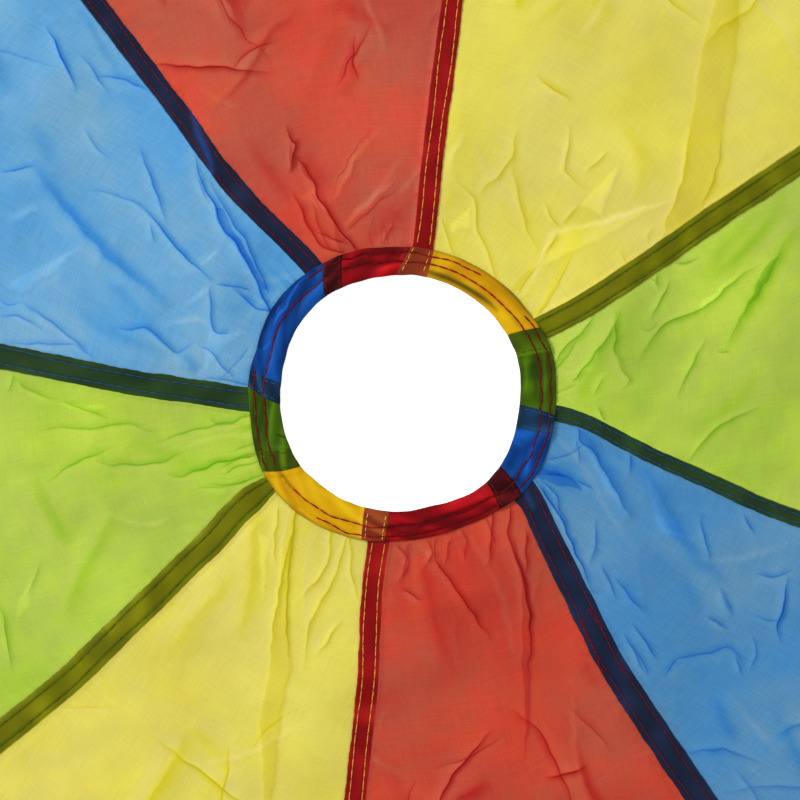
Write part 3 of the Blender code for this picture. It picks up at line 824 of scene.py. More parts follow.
def loose_creases(relief, number, read):
    """Loose creases past the photograph, and a few faint ones within it, clear of those read."""
    pick = np.random.default_rng(900 + number)
    middle = gore_angle(number)
    for count in range(LOOSE):
        if count < LOOSE_NEAR:
            out = pick.uniform(LOOSE_FROM, LOOSE_NEAR_TO)
        else:
            out = math.sqrt(pick.uniform(LOOSE_FROM ** 2, LOOSE_TO ** 2))
        turn = middle + pick.uniform(-0.9, 0.9) * GORE / 2
        heading = turn + pick.normal(0, 0.45) + (math.pi if pick.random() < 0.5 else 0)
        if pick.random() < 0.3:
            heading += math.pi / 2 * pick.choice((-1, 1))
        px, py = out * math.cos(turn), out * math.sin(turn)
        shown = in_photo(px, py)
        if shown and (pick.random() < 0.5
                      or min(math.dist((px, py), p) for p in read) < LOOSE_CLEAR):
            continue
        grow = 1 + max(0, out - 200 * MM) / (160 * MM)
        length = pick.uniform(14, 45) * MM * (0.8 if shown else 0.8 + grow * 0.6)
        points = []
        for _ in range(5):
            points.append((px, py))
            heading += pick.normal(0, 0.16)
            px += math.cos(heading) * length / 4
            py += math.sin(heading) * length / 4
        if not shown and any(in_photo(*p) for p in points):
            continue
        if shown:
            kind, strength = pick.choice(FAINT_KINDS), pick.uniform(0.3, 0.6)
        else:
            kind, strength = pick.choice(LOOSE_KINDS, p=LOOSE_ODDS), pick.uniform(0.6, 1.3)
        relief.crease(points, kind, strength, grow, apart=1.6)


def long_folds(relief, number):
    """Long folds from the centre to the outer hem."""
    pick = np.random.default_rng(500 + number)
    count = len(FOLD_PLACES)
    starts = np.array(FOLD_PLACES) + pick.uniform(-0.05, 0.05, count)
    ends = starts + pick.uniform(-0.06, 0.06, count)
    heights = pick.uniform(FOLD_LOW, FOLD_HIGH, count)
    radius, angle = np.hypot(relief.x, relief.y), np.arctan2(relief.y, relief.x)
    share = (GORE / 2 - wrap(angle - gore_angle(number))) / GORE
    outward = (radius - HEM_EDGE) / (OUTER_EDGE - HEM_EDGE)
    swell = ease((outward - 0.13) / 0.25) * (1 - ease((outward - 0.4) / 0.57))
    for start, end, high in zip(starts, ends, heights):
        line = start + (end - start) * outward
        line = line + 0.012 * waves(radius, 0 * radius, 160 * MM, number)
        off = (share - line) / 0.06
        form = 0.6 * np.exp(-off ** 2) + 0.4 * np.exp(-np.abs(off) * 1.8)
        # Painted shade along one side of each fold, and a painted highlight along the other
        dark = 0.26 * np.exp(-((off - 0.3) / 0.22) ** 2)
        light = 0.12 * np.exp(-((off + 0.35) / 0.3) ** 2)
        relief.height += high * MM * swell * form
        relief.layers += swell * high / FOLD_HIGH * (dark - light)


def crumple(relief, number):
    """Small crests with flat facets between, stronger in patches."""
    for size, seed, high in CRUMPLES:
        field = waves(relief.warped_x, relief.warped_y, size * MM, seed + number * 7)
        patch = ease(0.45 + 0.5 * waves(relief.x, relief.y, 70 * MM, seed + 50 + number))
        relief.height += high * MM * patch * np.exp(-np.abs(field) / 0.8)


def gathers(relief):
    """Gathers where the cloth runs into a hem."""
    x, y = relief.x, relief.y
    radius, angle = np.hypot(x, y), np.arctan2(y, x)
    for edge, size, depth, seed in GATHERS:
        into = np.abs(radius - edge) / (depth * MM)
        around = waves(angle * edge, radius * 0.4, size * MM, seed)
        around = around + 0.5 * waves(x, y, 2.3 * size * MM, seed + 4)
        some = ease(0.35 + 0.7 * waves(angle * edge, 0 * radius, 3.5 * size * MM, seed + 8))
        fade = np.exp(-into * 1.6) * np.clip(1 - into / 3, 0, 1) * some
        # Painted shade along each gather's crest, and a painted highlight beside it
        crest, trough = np.exp(-np.abs(around) / 0.22), np.exp(-((around - 0.7) / 0.3) ** 2)
        relief.height += 0.42 * MM * (depth / 17) ** 0.5 * fade * np.exp(-np.abs(around) / 0.8)
        relief.layers += fade * (0.42 * crest - 0.14 * trough)


# Cloth colours

# 0-255 colours: one layer in two tones, two layers, and the four layers of a hem, lit and shaded
# (a painted highlight and a painted shade)
CLOTH_TONES = {
    "blue": ((90, 156, 206), (114, 164, 197), (22, 104, 198), (16, 88, 176), (3, 46, 108)),
    "red": ((204, 74, 52), (182, 84, 64), (162, 14, 14), (196, 20, 24), (98, 0, 6)),
    "yellow": ((223, 212, 90), (213, 200, 96), (207, 191, 14), (228, 186, 18), (194, 138, 2)),
    "green": ((180, 206, 68), (166, 188, 76), (102, 166, 8), (84, 132, 6), (44, 66, 2)),
}
SEAM_TONES = {
    ("blue", "red"): ((21, 30, 52), (28, 42, 75)),
    ("red", "yellow"): ((130, 5, 9), (172, 26, 24)),
    ("yellow", "green"): ((98, 100, 1), (132, 134, 4)),
    ("green", "blue"): ((30, 52, 28), (48, 78, 30)),
}
# Brighter stretches of a seam, where fewer layers lie on each other: colour, half width and
# places along it in photo pixels
SEAM_GLEAMS = {
    1: (((26, 66, 140), 3.6, (192, 108), (199, 134), (207, 151), (213, 172)),),
    5: (((30, 56, 104), 3.0, (522, 484), (526, 494), (532, 506)),),
}
TURNED_TONES = {
    ("blue", "red"): ((44, 3, 6), (92, 16, 18)),
    ("red", "yellow"): ((118, 42, 20), (160, 76, 32)),
    ("yellow", "green"): ((50, 66, 2), (86, 116, 6)),
    ("green", "blue"): ((12, 36, 58), (28, 70, 112)),
}
THREAD_TONES = {
    ("blue", "red"): (114, 8, 14), ("red", "yellow"): (226, 160, 60),
    ("yellow", "green"): (52, 92, 6), ("green", "blue"): (30, 78, 128),
}
HEM_THREAD_TONE = (100, 5, 8)
# Painted light: how much lighter the hems' thread is made on each colour of cloth, as if lit
# through it
HEM_THREAD_GLOWS = {"yellow": 2.1, "red": 0.9, "green": 1.1, "blue": 0.9}
# Where light strikes a centre hem full on, and where it lies in a fold's shadow
HEM_GLEAMS = {
    "blue": (26, 104, 218), "red": (200, 44, 32), "yellow": (240, 208, 44), "green": (104, 160, 20)}
HEM_SHADOWS = {"blue": (2, 30, 78), "red": (66, 0, 4), "yellow": (78, 64, 14), "green": (34, 50, 2)}
# Painted shade: two gores are darkened, as less light falls on them than on their twins
GORE_PAINTED_SHADES = {5: (0.62, 0.72, 0.80), 6: (0.97, 0.80, 0.76)}
# How strongly the weave shows in each colour, and how dark cloth folded double is and a crease's
# thin line with its painted shade, as shares of another layer
WEAVE_CONTRASTS = {"blue": 0.27, "red": 0.25, "yellow": 0.14, "green": 0.17}
DOUBLED_DARK = {"blue": 0.56, "red": 0.46, "yellow": 0.50, "green": 0.56}
LINE_DARK = {"blue": 0.95, "red": 0.95, "yellow": 0.95, "green": 0.8}
WEBBING_TONES = ((14, 14, 16), (52, 52, 56))


def mix(a, b, share):
    """From one colour to another, by the share at each place."""
    share = np.clip(share, 0, 1)[:, None]
    return a * (1 - share) + b * share


def tone(colour):
    """A 0-255 colour as logarithms, which add up as layers of cloth do."""
    return np.log(np.maximum(np.array(linear(colour)), 2e-4))[None, :]


def cloth_colour(name, layers, warm):
    """Colour of the cloth where the light goes through this many layers."""
    one, other, two = [tone(c) for c in CLOTH_TONES[name][:3]]
    single = mix(one, other, warm)
    deep = np.clip(layers - 1, -0.6, 1.6)[:, None]
    return np.exp(single + (two - single) * deep * np.where(deep < 0, 0.55, 1.0))


# Gores

UNDER, INSIDE, STRIP, HOOK = range(4)
UNDER_COLUMNS, INSIDE_COLUMNS, STRIP_COLUMNS = 10, 104, 10
TUCK, TURN, FLAP, ROLL, PANEL = range(5)
# Rows lie this close together out to this radius, then further and further apart
ROW_STEP, FINE_TO, WIDEST_STEP = 0.98 * MM, 236 * MM, 9 * MM
# The run over which the cloth falls away beside a seam: on a hem flap and on the panel
HEM_FALL, PANEL_FALL = 2.6 * MM, 2.2 * MM
# Half width of the channel that a row of stitches pulls into a hem
CHANNEL = 0.9 * MM
# How far the fold at a flap's edge bulges out, and how far the cloth turned in lies below it
FOLD_BULGE, TURNED_BELOW = 0.18 * MM, 0.25 * MM
# How far each column of the hooked edge lies under the top of the seam
HOOK_DEPTHS = 0.12 * MM, 0.26 * MM, 0.3 * MM


def cloth_columns():
    """Across a gore, clockwise: under one seam, the panel, over the next seam, hooked under."""
    columns = [(UNDER, i / (UNDER_COLUMNS - 1)) for i in range(UNDER_COLUMNS)]
    columns += [(INSIDE, (i + 0.5) / INSIDE_COLUMNS) for i in range(INSIDE_COLUMNS)]
    columns += [(STRIP, i / (STRIP_COLUMNS - 1)) for i in range(STRIP_COLUMNS)]
    columns += [(HOOK, share) for share in (0, 0.4, 1)]
    return np.array(columns)


def cloth_rows():
    """Along a gore, as the cloth runs: hem turned in, hem flap, rim, panel, and the same again."""
    rows = []

    def add(kind, spots, outer=0):
        rows.extend((kind, spot, outer) for spot in spots)

    add(TUCK, np.linspace(0.2, 0.96, 4))
    add(TURN, (0.2, 0.5, 0.8))
    add(FLAP, np.linspace(0.985, 0.04, 25))
    add(ROLL, np.linspace(1, 0, 7))
    add(PANEL, np.linspace(RIM + 1.5 * MM, HEM_EDGE - 1 * MM, 6))
    add(PANEL, np.arange(HEM_EDGE, FINE_TO, ROW_STEP))
    reach, step = FINE_TO, 1 * MM
    while reach < OUTER_EDGE - 10 * MM:
        reach += step
        step = min(step * 1.045, WIDEST_STEP)
        add(PANEL, (reach,))
    add(PANEL, np.linspace(reach + 5 * MM, CANOPY - 2 * MM, 7))
    add(ROLL, np.linspace(0, 1, 7), 1)
    add(FLAP, np.linspace(0.03, 0.985, 12), 1)
    add(TURN, (0.8, 0.5, 0.2), 1)
    add(TUCK, np.linspace(0.96, 0.2, 3), 1)
    return np.array(rows)


def flap_share_angle(number, share, column, part, outer):
    """Angle of each column on a hem flap, from the middle of the gore."""
    half = SEAM / 2 / (CANOPY - share * OUTER_HEM)
    back_edge, back_strip, on_edge, on_strip = (
        np.where(outer, straight, turned_angle(seam, share, number, strip_edge))
        for straight, seam, strip_edge in (
            (GORE / 2 + half, before(number), False), (GORE / 2 - half, before(number), True),
            (-GORE / 2 + half, number, False), (-GORE / 2 - half, number, True)))
    return np.select(
        [part == UNDER, part == INSIDE, part == STRIP],
        [back_edge + (back_strip - back_edge) * column,
         back_strip + (on_edge - back_strip) * column,
         on_edge + (on_strip - on_edge) * column * 0.85],
        on_edge + (on_strip - on_edge) * (0.85 + 0.1 * column))


def panel_angle(number, radius, column, part):
    """Angle of each column on the panel, from the middle of the gore."""
    half, back_half = seam_half(number, radius), seam_half(before(number), radius)
    back = seam_angle(before(number), radius, number)
    on = seam_angle(number, radius, number)
    # The seam's edges run in and out with the stitches, and wander a little
    scallop = 0.07 * MM * np.sin(radius * 2 * math.pi / STITCH)
    scallop = scallop + 0.13 * MM * waves(radius, radius * 0, 13 * MM, 60 + number)
    on_edge = half + scallop * 0.6
    out_edge = -half - scallop
    back_edge = back_half * 0.96
    offsets = np.select(
        [part == UNDER, part == STRIP, (part == HOOK) & (column < 0.1),
         (part == HOOK) & (column < 0.5)],
        [back_edge - (back_edge + back_half) * column, on_edge + (out_edge - on_edge) * column,
         out_edge - 0.06 * MM, out_edge + 0.35 * MM],
        out_edge + 2.2 * MM)
    away = offsets / radius
    from_back, from_on = back - back_half / radius, on + on_edge / radius
    return np.select([part == UNDER, part == INSIDE],
                     [back + away, from_back + (from_on - from_back) * column], on + away)


def seam_nearness(angle, back, on, radius):
    """1 over either seam, falling to 0 a few millimetres off it."""
    off = np.minimum(np.abs(angle - back), np.abs(angle - on)) * radius
    return 1 - ease((off - SEAM / 2) / HEM_FALL)


def flap_form(number, share, angle, part, column, outer):
    """Height of a hem flap over the ground: channels at the stitch rows, puffed between them.

    With it come the puff, the pinch at the rows, and a quick and a slow unevenness."""
    radius = np.where(outer, CANOPY - share * OUTER_HEM, RIM + share * CENTRE_HEM)
    width = np.where(outer, OUTER_HEM, CENTRE_HEM)

    def middle_of(strip):
        ends = [flap_share_angle(number, share, end + 0 * share, strip + 0 * part, outer)
                for end in (0, 1)]
        return (ends[0] + ends[1]) / 2

    near = seam_nearness(angle, middle_of(UNDER), middle_of(STRIP), radius)
    lap = np.where(part == UNDER, 1.0, 0.0)
    lap = np.where(part == INSIDE, 1 - ease(column * 14), lap)
    from_edge = (1 - share) * width
    puff = np.sin(np.clip(share * width / (width - HEM_ROW - HEM_ROWS_APART), 0, 1) * math.pi)
    pinch = sum(np.exp(-((from_edge - row) / CHANNEL) ** 2)
                for row in (HEM_ROW, HEM_ROW + HEM_ROWS_APART))
    world = angle + gore_angle(number)
    ripple = waves(world * radius, share * 9 * MM, 11 * MM, 81)
    slow = waves(world * radius, share * 5 * MM, 27 * MM, 82)
    form = FLAP_RISE + SEAM_RISE * near + LAP_RISE * lap
    form = form + (0.45 + 0.3 * slow) * MM * puff * (1 - 0.5 * near) - 0.16 * MM * pinch
    form = form + 0.10 * MM * ripple * (1 - near * 0.6)
    return form, puff, pinch, ripple, slow


class Gore:
    """One gore's sheet of cloth: where each point of its grid lies, and its colour there."""

    def __init__(self, number):
        self.number, self.colour = number, COLOURS[number - 1]
        self.name = f"gore_{number}_{self.colour}_cloth"
        columns, rows = cloth_columns(), cloth_rows()
        self.size = (len(rows), len(columns))
        shape = bmesh.new()
        bmesh.ops.create_grid(shape, x_segments=len(columns) - 1, y_segments=len(rows) - 1, size=1)
        self.mesh = mesh_from(shape, self.name)
        spot = mesh_places(self.mesh)
        self.across = np.rint((spot[:, 0] + 1) / 2 * (len(columns) - 1)).astype(int)
        self.down = np.rint((spot[:, 1] + 1) / 2 * (len(rows) - 1)).astype(int)
        self.part, self.column = columns[self.across].T
        self.kind, self.place, outer = rows[self.down].T
        self.outer = outer > 0
        self.is_panel = self.kind == PANEL
        self.width = np.where(self.outer, OUTER_HEM, CENTRE_HEM)
        self.rim = np.where(self.outer, CANOPY, RIM)
        self.share = np.select(
            [self.kind == TUCK, self.kind == TURN, self.kind == FLAP],
            [self.place, 1.0, self.place], 0.0)

    def fold(self):
        """Angle and radius of each point, and its height over the ground, by the kind of row."""
        number, part, column, kind, place = (
            self.number, self.part, self.column, self.kind, self.place)
        outer, width, rim, share = self.outer, self.width, self.rim, self.share
        inward = np.where(outer, -1.0, 1.0)
        panel_radius = np.where(self.is_panel, place, rim)
        flap_angle = flap_share_angle(number, share, column, part, outer)
        on_panel = ease((panel_radius - RIM) / (8 * MM)) * self.is_panel
        to_panel = panel_angle(number, panel_radius, column, part) - flap_angle
        angle = flap_angle + to_panel * on_panel
        form, *self.hem_forms = flap_form(number, share, angle, part, column, outer)

        bend = place * math.pi
        roll = form / 2
        radius = np.select(
            [kind == TUCK, kind == TURN, kind == FLAP, kind == ROLL],
            [rim + inward * place * width,
             rim + inward * (width + FOLD_BULGE * np.sin(bend)),
             rim + inward * (place * (width - roll) + roll),
             rim + inward * roll * (1 - np.sin(bend))],
            panel_radius)
        world = angle + gore_angle(number)
        panel_drift = hem_drift(world, 0 * share) * (1 - ease((radius - RIM) / CENTRE_HEM))
        drift = np.where(self.is_panel, panel_drift, hem_drift(world, share))
        radius = radius + np.where(outer, 0, drift)

        # How far off both seams each point lies, from their edges
        on_off = (angle - seam_angle(number, radius, number)) * radius - seam_half(number, radius)
        back_off = ((seam_angle(before(number), radius, number) - angle) * radius
                    - seam_half(before(number), radius))
        top_strip = np.where(part == STRIP, 1.0, 0.0)
        top_strip = np.where(part == INSIDE, 1 - ease(on_off / PANEL_FALL), top_strip)
        *depths, deepest = HOOK_DEPTHS
        hooked = np.select([column < 0.1, column < 0.5], depths, deepest)
        over = np.where(part == HOOK, SEAM_RISE - hooked, SEAM_RISE * top_strip)
        lift = np.select(
            [kind == TUCK, kind == TURN, kind == FLAP, kind == ROLL],
            [form - TURNED_BELOW, form - TURNED_BELOW * (1 - place), form,
             roll * (1 - np.cos(bend))],
            over)
        sag = np.where((kind == FLAP) & (part == HOOK), -0.12 * MM, 0)
        self.angle, self.radius, self.seam_off = angle, radius, np.minimum(back_off, on_off)
        self.x, self.y = radius * np.cos(world), radius * np.sin(world)
        return lift + sag

    def lay(self):
        """Puts each point in its place: folded, then creased, held down along both seams."""
        lift = self.fold()
        number, radius, off = self.number, self.radius, self.seam_off
        self.relief = relief = gore_relief(number, self.x, self.y)
        clear = ease((radius - HEM_EDGE + 1 * MM) / (3 * MM)) * np.where(self.is_panel, 1, 0)
        clear = clear * (1 - ease((radius - OUTER_EDGE + 6 * MM) / (6 * MM)))
        self.free, self.seen = (clear * ease(off / (run * MM)) for run in (5, 1.6))
        puckers = np.exp(-np.abs(waves(radius, 0.35 * off, 9 * MM, 44 + number)) / 0.25)
        beside = np.exp(-np.maximum(off, 0) / (4.5 * MM)) * np.where(self.is_panel, 1, 0)
        self.puckered = puckers * beside
        self.along_seam = waves(radius, 0 * radius, 21 * MM, 140 + number)
        on_strip = (self.part == STRIP) & self.is_panel
        crown = np.where(on_strip, 0.10 * MM * self.along_seam * np.sin(self.column * math.pi), 0)
        self.z = (FLOOR_GAP + ground(self.x, self.y) + relief.height * self.free
                  + 0.25 * MM * self.puckered * np.where(self.part == INSIDE, 1, 0.25)
                  + lift + crown)
        self.mesh.vertices.foreach_set("co", np.stack((self.x, self.y, self.z), 1).ravel())

    def steepness(self):
        """Slope of the cloth at each point, from its neighbours in the grid."""
        tables = np.zeros((3, *self.size))
        tables[:, self.down, self.across] = self.z, self.x, self.y
        slopes = []
        for axis in (0, 1):
            dz, dx, dy = (np.gradient(table, axis=axis) for table in tables)
            slopes.append(dz / np.maximum(np.hypot(dx, dy), 1e-5))
        return np.clip(np.hypot(*slopes)[self.down, self.across], 0, 1.5)

    def panel_paint(self):
        """Colour of the panel, by how many layers the light goes through."""
        x, y = self.x, self.y
        # Painted shade: steep cloth is darkened, as the light goes through more of it
        layers = 1 + self.relief.layers * self.seen + 0.35 * self.steepness() * self.free
        layers = layers + 0.012 * waves(x, y, 26 * MM, 21) + 0.03 * waves(x, y, 75 * MM, 22)
        # Painted shade along the puckers beside the seams
        layers = layers + 0.14 * self.puckered
        warm = 0.5 + 0.26 * waves(x, y, 60 * MM, 24) + 0.10 * waves(x, y, 14 * MM, 25)
        # Painted shade over two of the gores
        shade = np.array(GORE_PAINTED_SHADES.get(self.number, (1, 1, 1)))
        return cloth_colour(self.colour, layers, warm) * shade

    def seam_paint(self):
        """Colour of a seam's four layers, with painted shade in the channels of its stitches."""
        x, y = self.x, self.y
        dark, light = [tone(c) for c in SEAM_TONES[self.colour, COLOURS[after(self.number) - 1]]]
        past_rows = np.abs(self.column - 0.5) * SEAM - SEAM_ROWS / 2
        uneven = 0.25 + 0.22 * waves(x, y, 16 * MM, 26) + 0.08 * ease(past_rows / (0.8 * MM))
        paint = mix(dark, light, uneven + 0.12 * self.along_seam)
        for colour, half, *pixels in SEAM_GLEAMS.get(self.number, ()):
            off = along(x, y, rounded(places(pixels)))[0]
            paint = mix(paint, tone(colour), 0.85 * np.exp(-(off / (half * PIXEL)) ** 2))
        # Painted shade in the channel that each row of stitches pulls into the seam
        channel = 0.25 * np.exp(-(past_rows / (0.5 * MM)) ** 2)
        return np.exp(paint) * (1 - channel)[:, None]

    def hem_paint(self):
        """Colour of a hem flap and of the seam turned over with it, with painted highlight and
        shade.
        """
        puff, pinch, ripple, slow = self.hem_forms
        bright, deep = [tone(c) for c in CLOTH_TONES[self.colour][3:]]
        from_edge = (1 - self.share) * self.width
        # Painted highlight where the flap stands higher and at its folded edge, painted shade in
        # the channels of the stitch rows
        gleam = 0.38 + 0.14 * slow + 0.12 * ripple + 0.18 * puff - 0.22 * pinch
        gleam = gleam + 0.15 * np.exp(-(from_edge / (0.5 * MM)) ** 2)
        marks = hem_marks(self.number, self.x, self.y)
        # Painted shadow along the folded edge
        marks = marks + 0.35 * np.exp(-(from_edge / (0.7 * MM)) ** 2)
        marks = np.where(self.outer, 0, marks)
        paint = mix(mix(deep, bright, gleam), tone(HEM_SHADOWS[self.colour]), marks * 0.75)
        paint = np.exp(mix(paint, tone(HEM_GLEAMS[self.colour]), -marks * 0.6))
        turned = [tone(c) for c in TURNED_TONES[COLOURS[before(self.number) - 1], self.colour]]
        # The turned seam is lighter where the flap stands higher: painted highlight
        turned = np.exp(mix(*turned, 0.3 + 0.3 * ripple + 0.2 * puff))
        return np.where((self.part == UNDER)[:, None], turned, paint)

    def store(self):
        """Gives the mesh its colour, its crease lines and a flat map of the cloth."""
        mesh = self.mesh
        is_strip = (self.part == STRIP) | (self.part == HOOK)
        paint = np.where(is_strip[:, None], self.seam_paint(), self.panel_paint())
        paint = np.where(self.is_panel[:, None], paint, self.hem_paint())
        tint = mesh.color_attributes.new("cloth_tint", "FLOAT_COLOR", "POINT")
        tint.data.foreach_set("color", np.column_stack((paint, np.ones(len(paint)))).ravel())
        for name, values in (("crease_place", self.relief.place),
                             ("crease_weight", self.relief.weight * self.seen[:, None])):
            made = mesh.attributes.new(name, "FLOAT_VECTOR", "POINT")
            made.data.foreach_set("vector", values.ravel())
        for name, edge in self.relief.edges.items():
            edge = np.where(self.is_panel & (self.part == INSIDE), edge, -FAR_OFF)
            mesh.attributes.new(name, "FLOAT", "POINT").data.foreach_set("value", edge)
        corners = np.empty(len(mesh.loops), dtype=np.int32)
        mesh.loops.foreach_get("vertex_index", corners)
        length = np.where(self.is_panel, self.radius, 2 * self.rim - self.radius)
        uv = np.stack((wrap(self.angle) * np.maximum(self.radius, 1e-3), length), 1)[corners]
        mesh.uv_layers.new(name="cloth").data.foreach_set("uv", uv.ravel())
        set_smooth(mesh)
        mesh.update()


def build_gore(number):
    """One gore's cloth, as a piece of the canopy."""
    cloth = Gore(number)
    cloth.lay()
    cloth.store()
    gore = add_object(cloth.name, cloth.mesh)
    cloth.mesh.materials.append(cloth_surface(cloth.colour))
    thickness = gore.modifiers.new("cloth", "SOLIDIFY")
    thickness.thickness = CLOTH
    thickness.offset = 0
    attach(gore, "canopy")
    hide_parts(f"gore_{number}_{cloth.colour}")


# Materials

def new_surface(name, settings):
    """A material, its nodes and the sockets of its shader, with these settings."""
    surface = bpy.data.materials.new(name)
    surface.use_nodes = True
    shader = surface.node_tree.nodes["Principled BSDF"].inputs
    for label, value in settings.items():
        shader[label].default_value = value
    return surface, surface.node_tree, shader


def new_group(name, inputs, outputs):
    """A node group, with the sockets that come in and those that go out."""
    group = bpy.data.node_groups.new(name, "ShaderNodeTree")
    for label, kind, default in inputs:
        made = group.interface.new_socket(label, in_out="INPUT", socket_type=kind)
        if default is not None:
            made.default_value = default
    for label in outputs:
        group.interface.new_socket(label, in_out="OUTPUT", socket_type="NodeSocketFloat")
    start, end = group.nodes.new("NodeGroupInput"), group.nodes.new("NodeGroupOutput")
    return group, start.outputs, end.inputs


def grouped(tree, group):
    """Inputs and outputs of a node that stands for a group."""
    node = tree.nodes.new("ShaderNodeGroup")
    node.node_tree = group
    return node.inputs, node.outputs


def maths(tree, operation, *values):
    """Result of a maths node; each value is a number or another node's result."""
    node = tree.nodes.new("ShaderNodeMath")
    node.operation = operation
    for slot, value in zip(node.inputs, values):
        if isinstance(value, (int, float)):
            slot.default_value = value
        else:
            tree.links.new(value, slot)
    return node.outputs[0]


def attribute(tree, name):
    """A value that is stored with the mesh."""
    node = tree.nodes.new("ShaderNodeAttribute")
    node.attribute_name = name
    return node.outputs


def flat_map(tree, name):
    """Places on a piece laid out flat."""
    node = tree.nodes.new("ShaderNodeUVMap")
    node.uv_map = name
    return node.outputs["UV"]


def noise_over(tree, vector, scale, detail):
    """Noise at these places."""
    node = tree.nodes.new("ShaderNodeTexNoise")
    node.inputs["Scale"].default_value = scale
    node.inputs["Detail"].default_value = detail
    tree.links.new(vector, node.inputs["Vector"])
    return node.outputs["Fac"]


def stretched_noise(tree, vector, scale, detail=1.5):
    """Noise with its own scale along and across."""
    mapping = tree.nodes.new("ShaderNodeMapping")
    mapping.inputs["Scale"].default_value = (*scale, 1)
    tree.links.new(vector, mapping.inputs["Vector"])
    return noise_over(tree, mapping.outputs[0], 1, detail)


def brightened(tree, colour, by):
    """A colour multiplied by a number."""
    node = tree.nodes.new("ShaderNodeVectorMath")
    node.operation = "SCALE"
    tree.links.new(colour, node.inputs[0])
    tree.links.new(by, node.inputs["Scale"])
    return node.outputs[0]


def ramped(tree, share, stops):
    """A colour that runs between two 0-1 colours, each at its own share."""
    ramp = tree.nodes.new("ShaderNodeValToRGB")
    for element, (position, colour) in zip(ramp.color_ramp.elements, stops):
        element.color = (*colour, 1)
        element.position = position
    tree.links.new(share, ramp.inputs["Fac"])
    return ramp.outputs["Color"]


def raise_surface(tree, shader, height, strength, distance):
    """Lets a surface catch the light as if it had this height."""
    bump = tree.nodes.new("ShaderNodeBump")
    bump.inputs["Strength"].default_value = strength
    bump.inputs["Distance"].default_value = distance
    tree.links.new(height, bump.inputs["Height"])
    tree.links.new(bump.outputs[0], shader["Normal"])


def within(tree, name, soft):
    """1 inside patches, 0 outside, with an edge this many mm soft."""
    edge = tree.nodes.new("ShaderNodeMapRange")
    edge.interpolation_type = "SMOOTHSTEP"
    edge.inputs["From Min"].default_value = -soft
    edge.inputs["From Max"].default_value = soft
    tree.links.new(attribute(tree, name)["Fac"], edge.inputs["Value"])
    return edge.outputs["Result"]


def deepen(tree, colour, by, amount):
    """Colour multiplied by another layer's tint, as far as amount says."""
    node = tree.nodes.new("ShaderNodeMix")
    node.data_type = "RGBA"
    node.blend_type = "MULTIPLY"
    node.clamp_factor = True
    tree.links.new(amount, node.inputs["Factor"])
    tree.links.new(colour, node.inputs["A"])
    node.inputs["B"].default_value = (*by, 1)
    return node.outputs["Result"]


@functools.cache
def plain_weave_group():
    """Threads of a fine plain weave: uneven streaks both ways, as a shade and a height."""
    group, start, end = new_group(
        "plain_weave",
        (("Vector", "NodeSocketVector", None), ("Contrast", "NodeSocketFloat", 0.12)),
        ("Shade", "Height"))
    do = functools.partial(maths, group)
    warp = stretched_noise(group, start["Vector"], (1500, 90))
    weft = stretched_noise(group, start["Vector"], (90, 1500))
    grain = stretched_noise(group, start["Vector"], (2600, 2600), 1)
    total = do("MULTIPLY_ADD", grain, 0.8, do("ADD", warp, weft))
    centred = do("SUBTRACT", total, 1.4)
    shade = do("MULTIPLY_ADD", centred, start["Contrast"], 1.0)
    group.links.new(shade, end["Shade"])
    group.links.new(total, end["Height"])
    return group


@functools.cache
def crease_lines_group():
    """Sharp creases from each place's distance to them in mm: a thin dark line of doubled cloth,
    painted shade falling away on one side, a painted highlight on the other, and a small crest."""
    group, start, end = new_group(
        "crease_lines",
        (("Place", "NodeSocketVector", None), ("Weight", "NodeSocketVector", None),
         ("Half Width", "NodeSocketFloat", 0.5)),
        ("Dark", "Pale", "Height"))
    do = functools.partial(maths, group)
    offs, weights = (group.nodes.new("ShaderNodeSeparateXYZ") for _ in range(2))
    group.links.new(start["Place"], offs.inputs[0])
    group.links.new(start["Weight"], weights.inputs[0])

    def falling(off, rate):
        return do("EXPONENT", do("MULTIPLY", do("ABSOLUTE", off), rate))

    def one_side(off, slope):
        return do("SMOOTH_MIN", do("MAXIMUM", do("MULTIPLY", off, slope), 0.0), 1.0, 0.5)

    totals = {}
    for axis in "XYZ":
        off, weight = offs.outputs[axis], weights.outputs[axis]
        scaled = do("DIVIDE", off, start["Half Width"])
        core = do("EXPONENT", do("MULTIPLY", do("MULTIPLY", scaled, scaled), -1.0))
        fall = falling(off, -0.75)
        deep = do("MULTIPLY", do("MULTIPLY", one_side(off, 2.0), fall), 0.42)
        for name, value, join in (
                ("Dark", do("MAXIMUM", core, deep), "MAXIMUM"),
                ("Pale", do("MULTIPLY", one_side(off, -1.2), fall), "MAXIMUM"),
                ("Height", falling(off, -1.3), "ADD")):
            value = do("MULTIPLY", value, weight)
            totals[name] = do(join, totals[name], value) if name in totals else value
    for name, value in totals.items():
        group.links.new(value, end[name])
    return group


@functools.cache
def webbing_weave_group():
    """Ribbed strap weave with slanting picks, as a height and a painted shade in its grooves."""
    group, start, end = new_group(
        "webbing_weave",
        (("Vector", "NodeSocketVector", None), ("Rib", "NodeSocketFloat", 620.0)),
        ("Shade", "Height"))
    do = functools.partial(maths, group)
    split = group.nodes.new("ShaderNodeSeparateXYZ")
    group.links.new(start["Vector"], split.inputs[0])
    across, lengthwise = split.outputs["X"], split.outputs["Y"]
    ribs = do("SINE", do("MULTIPLY", across, do("MULTIPLY", start["Rib"], 6.2832)))
    zigzag = do("PINGPONG", across, 0.0042)
    picks = do("SINE", do("MULTIPLY", do("ADD", lengthwise, zigzag), 4200.0))
    height = do("MULTIPLY_ADD", do("MULTIPLY_ADD", ribs, 0.6, picks), 0.25, 0.5)
    fuzz = stretched_noise(group, start["Vector"], (900, 900), 3)
    # Painted shade: darker in the grooves between ribs and picks, uneven with random fuzz
    shade = do("MULTIPLY_ADD", height, 0.5, do("MULTIPLY_ADD", fuzz, 0.5, 0.45))
    group.links.new(shade, end["Shade"])
    group.links.new(height, end["Height"])
    return group


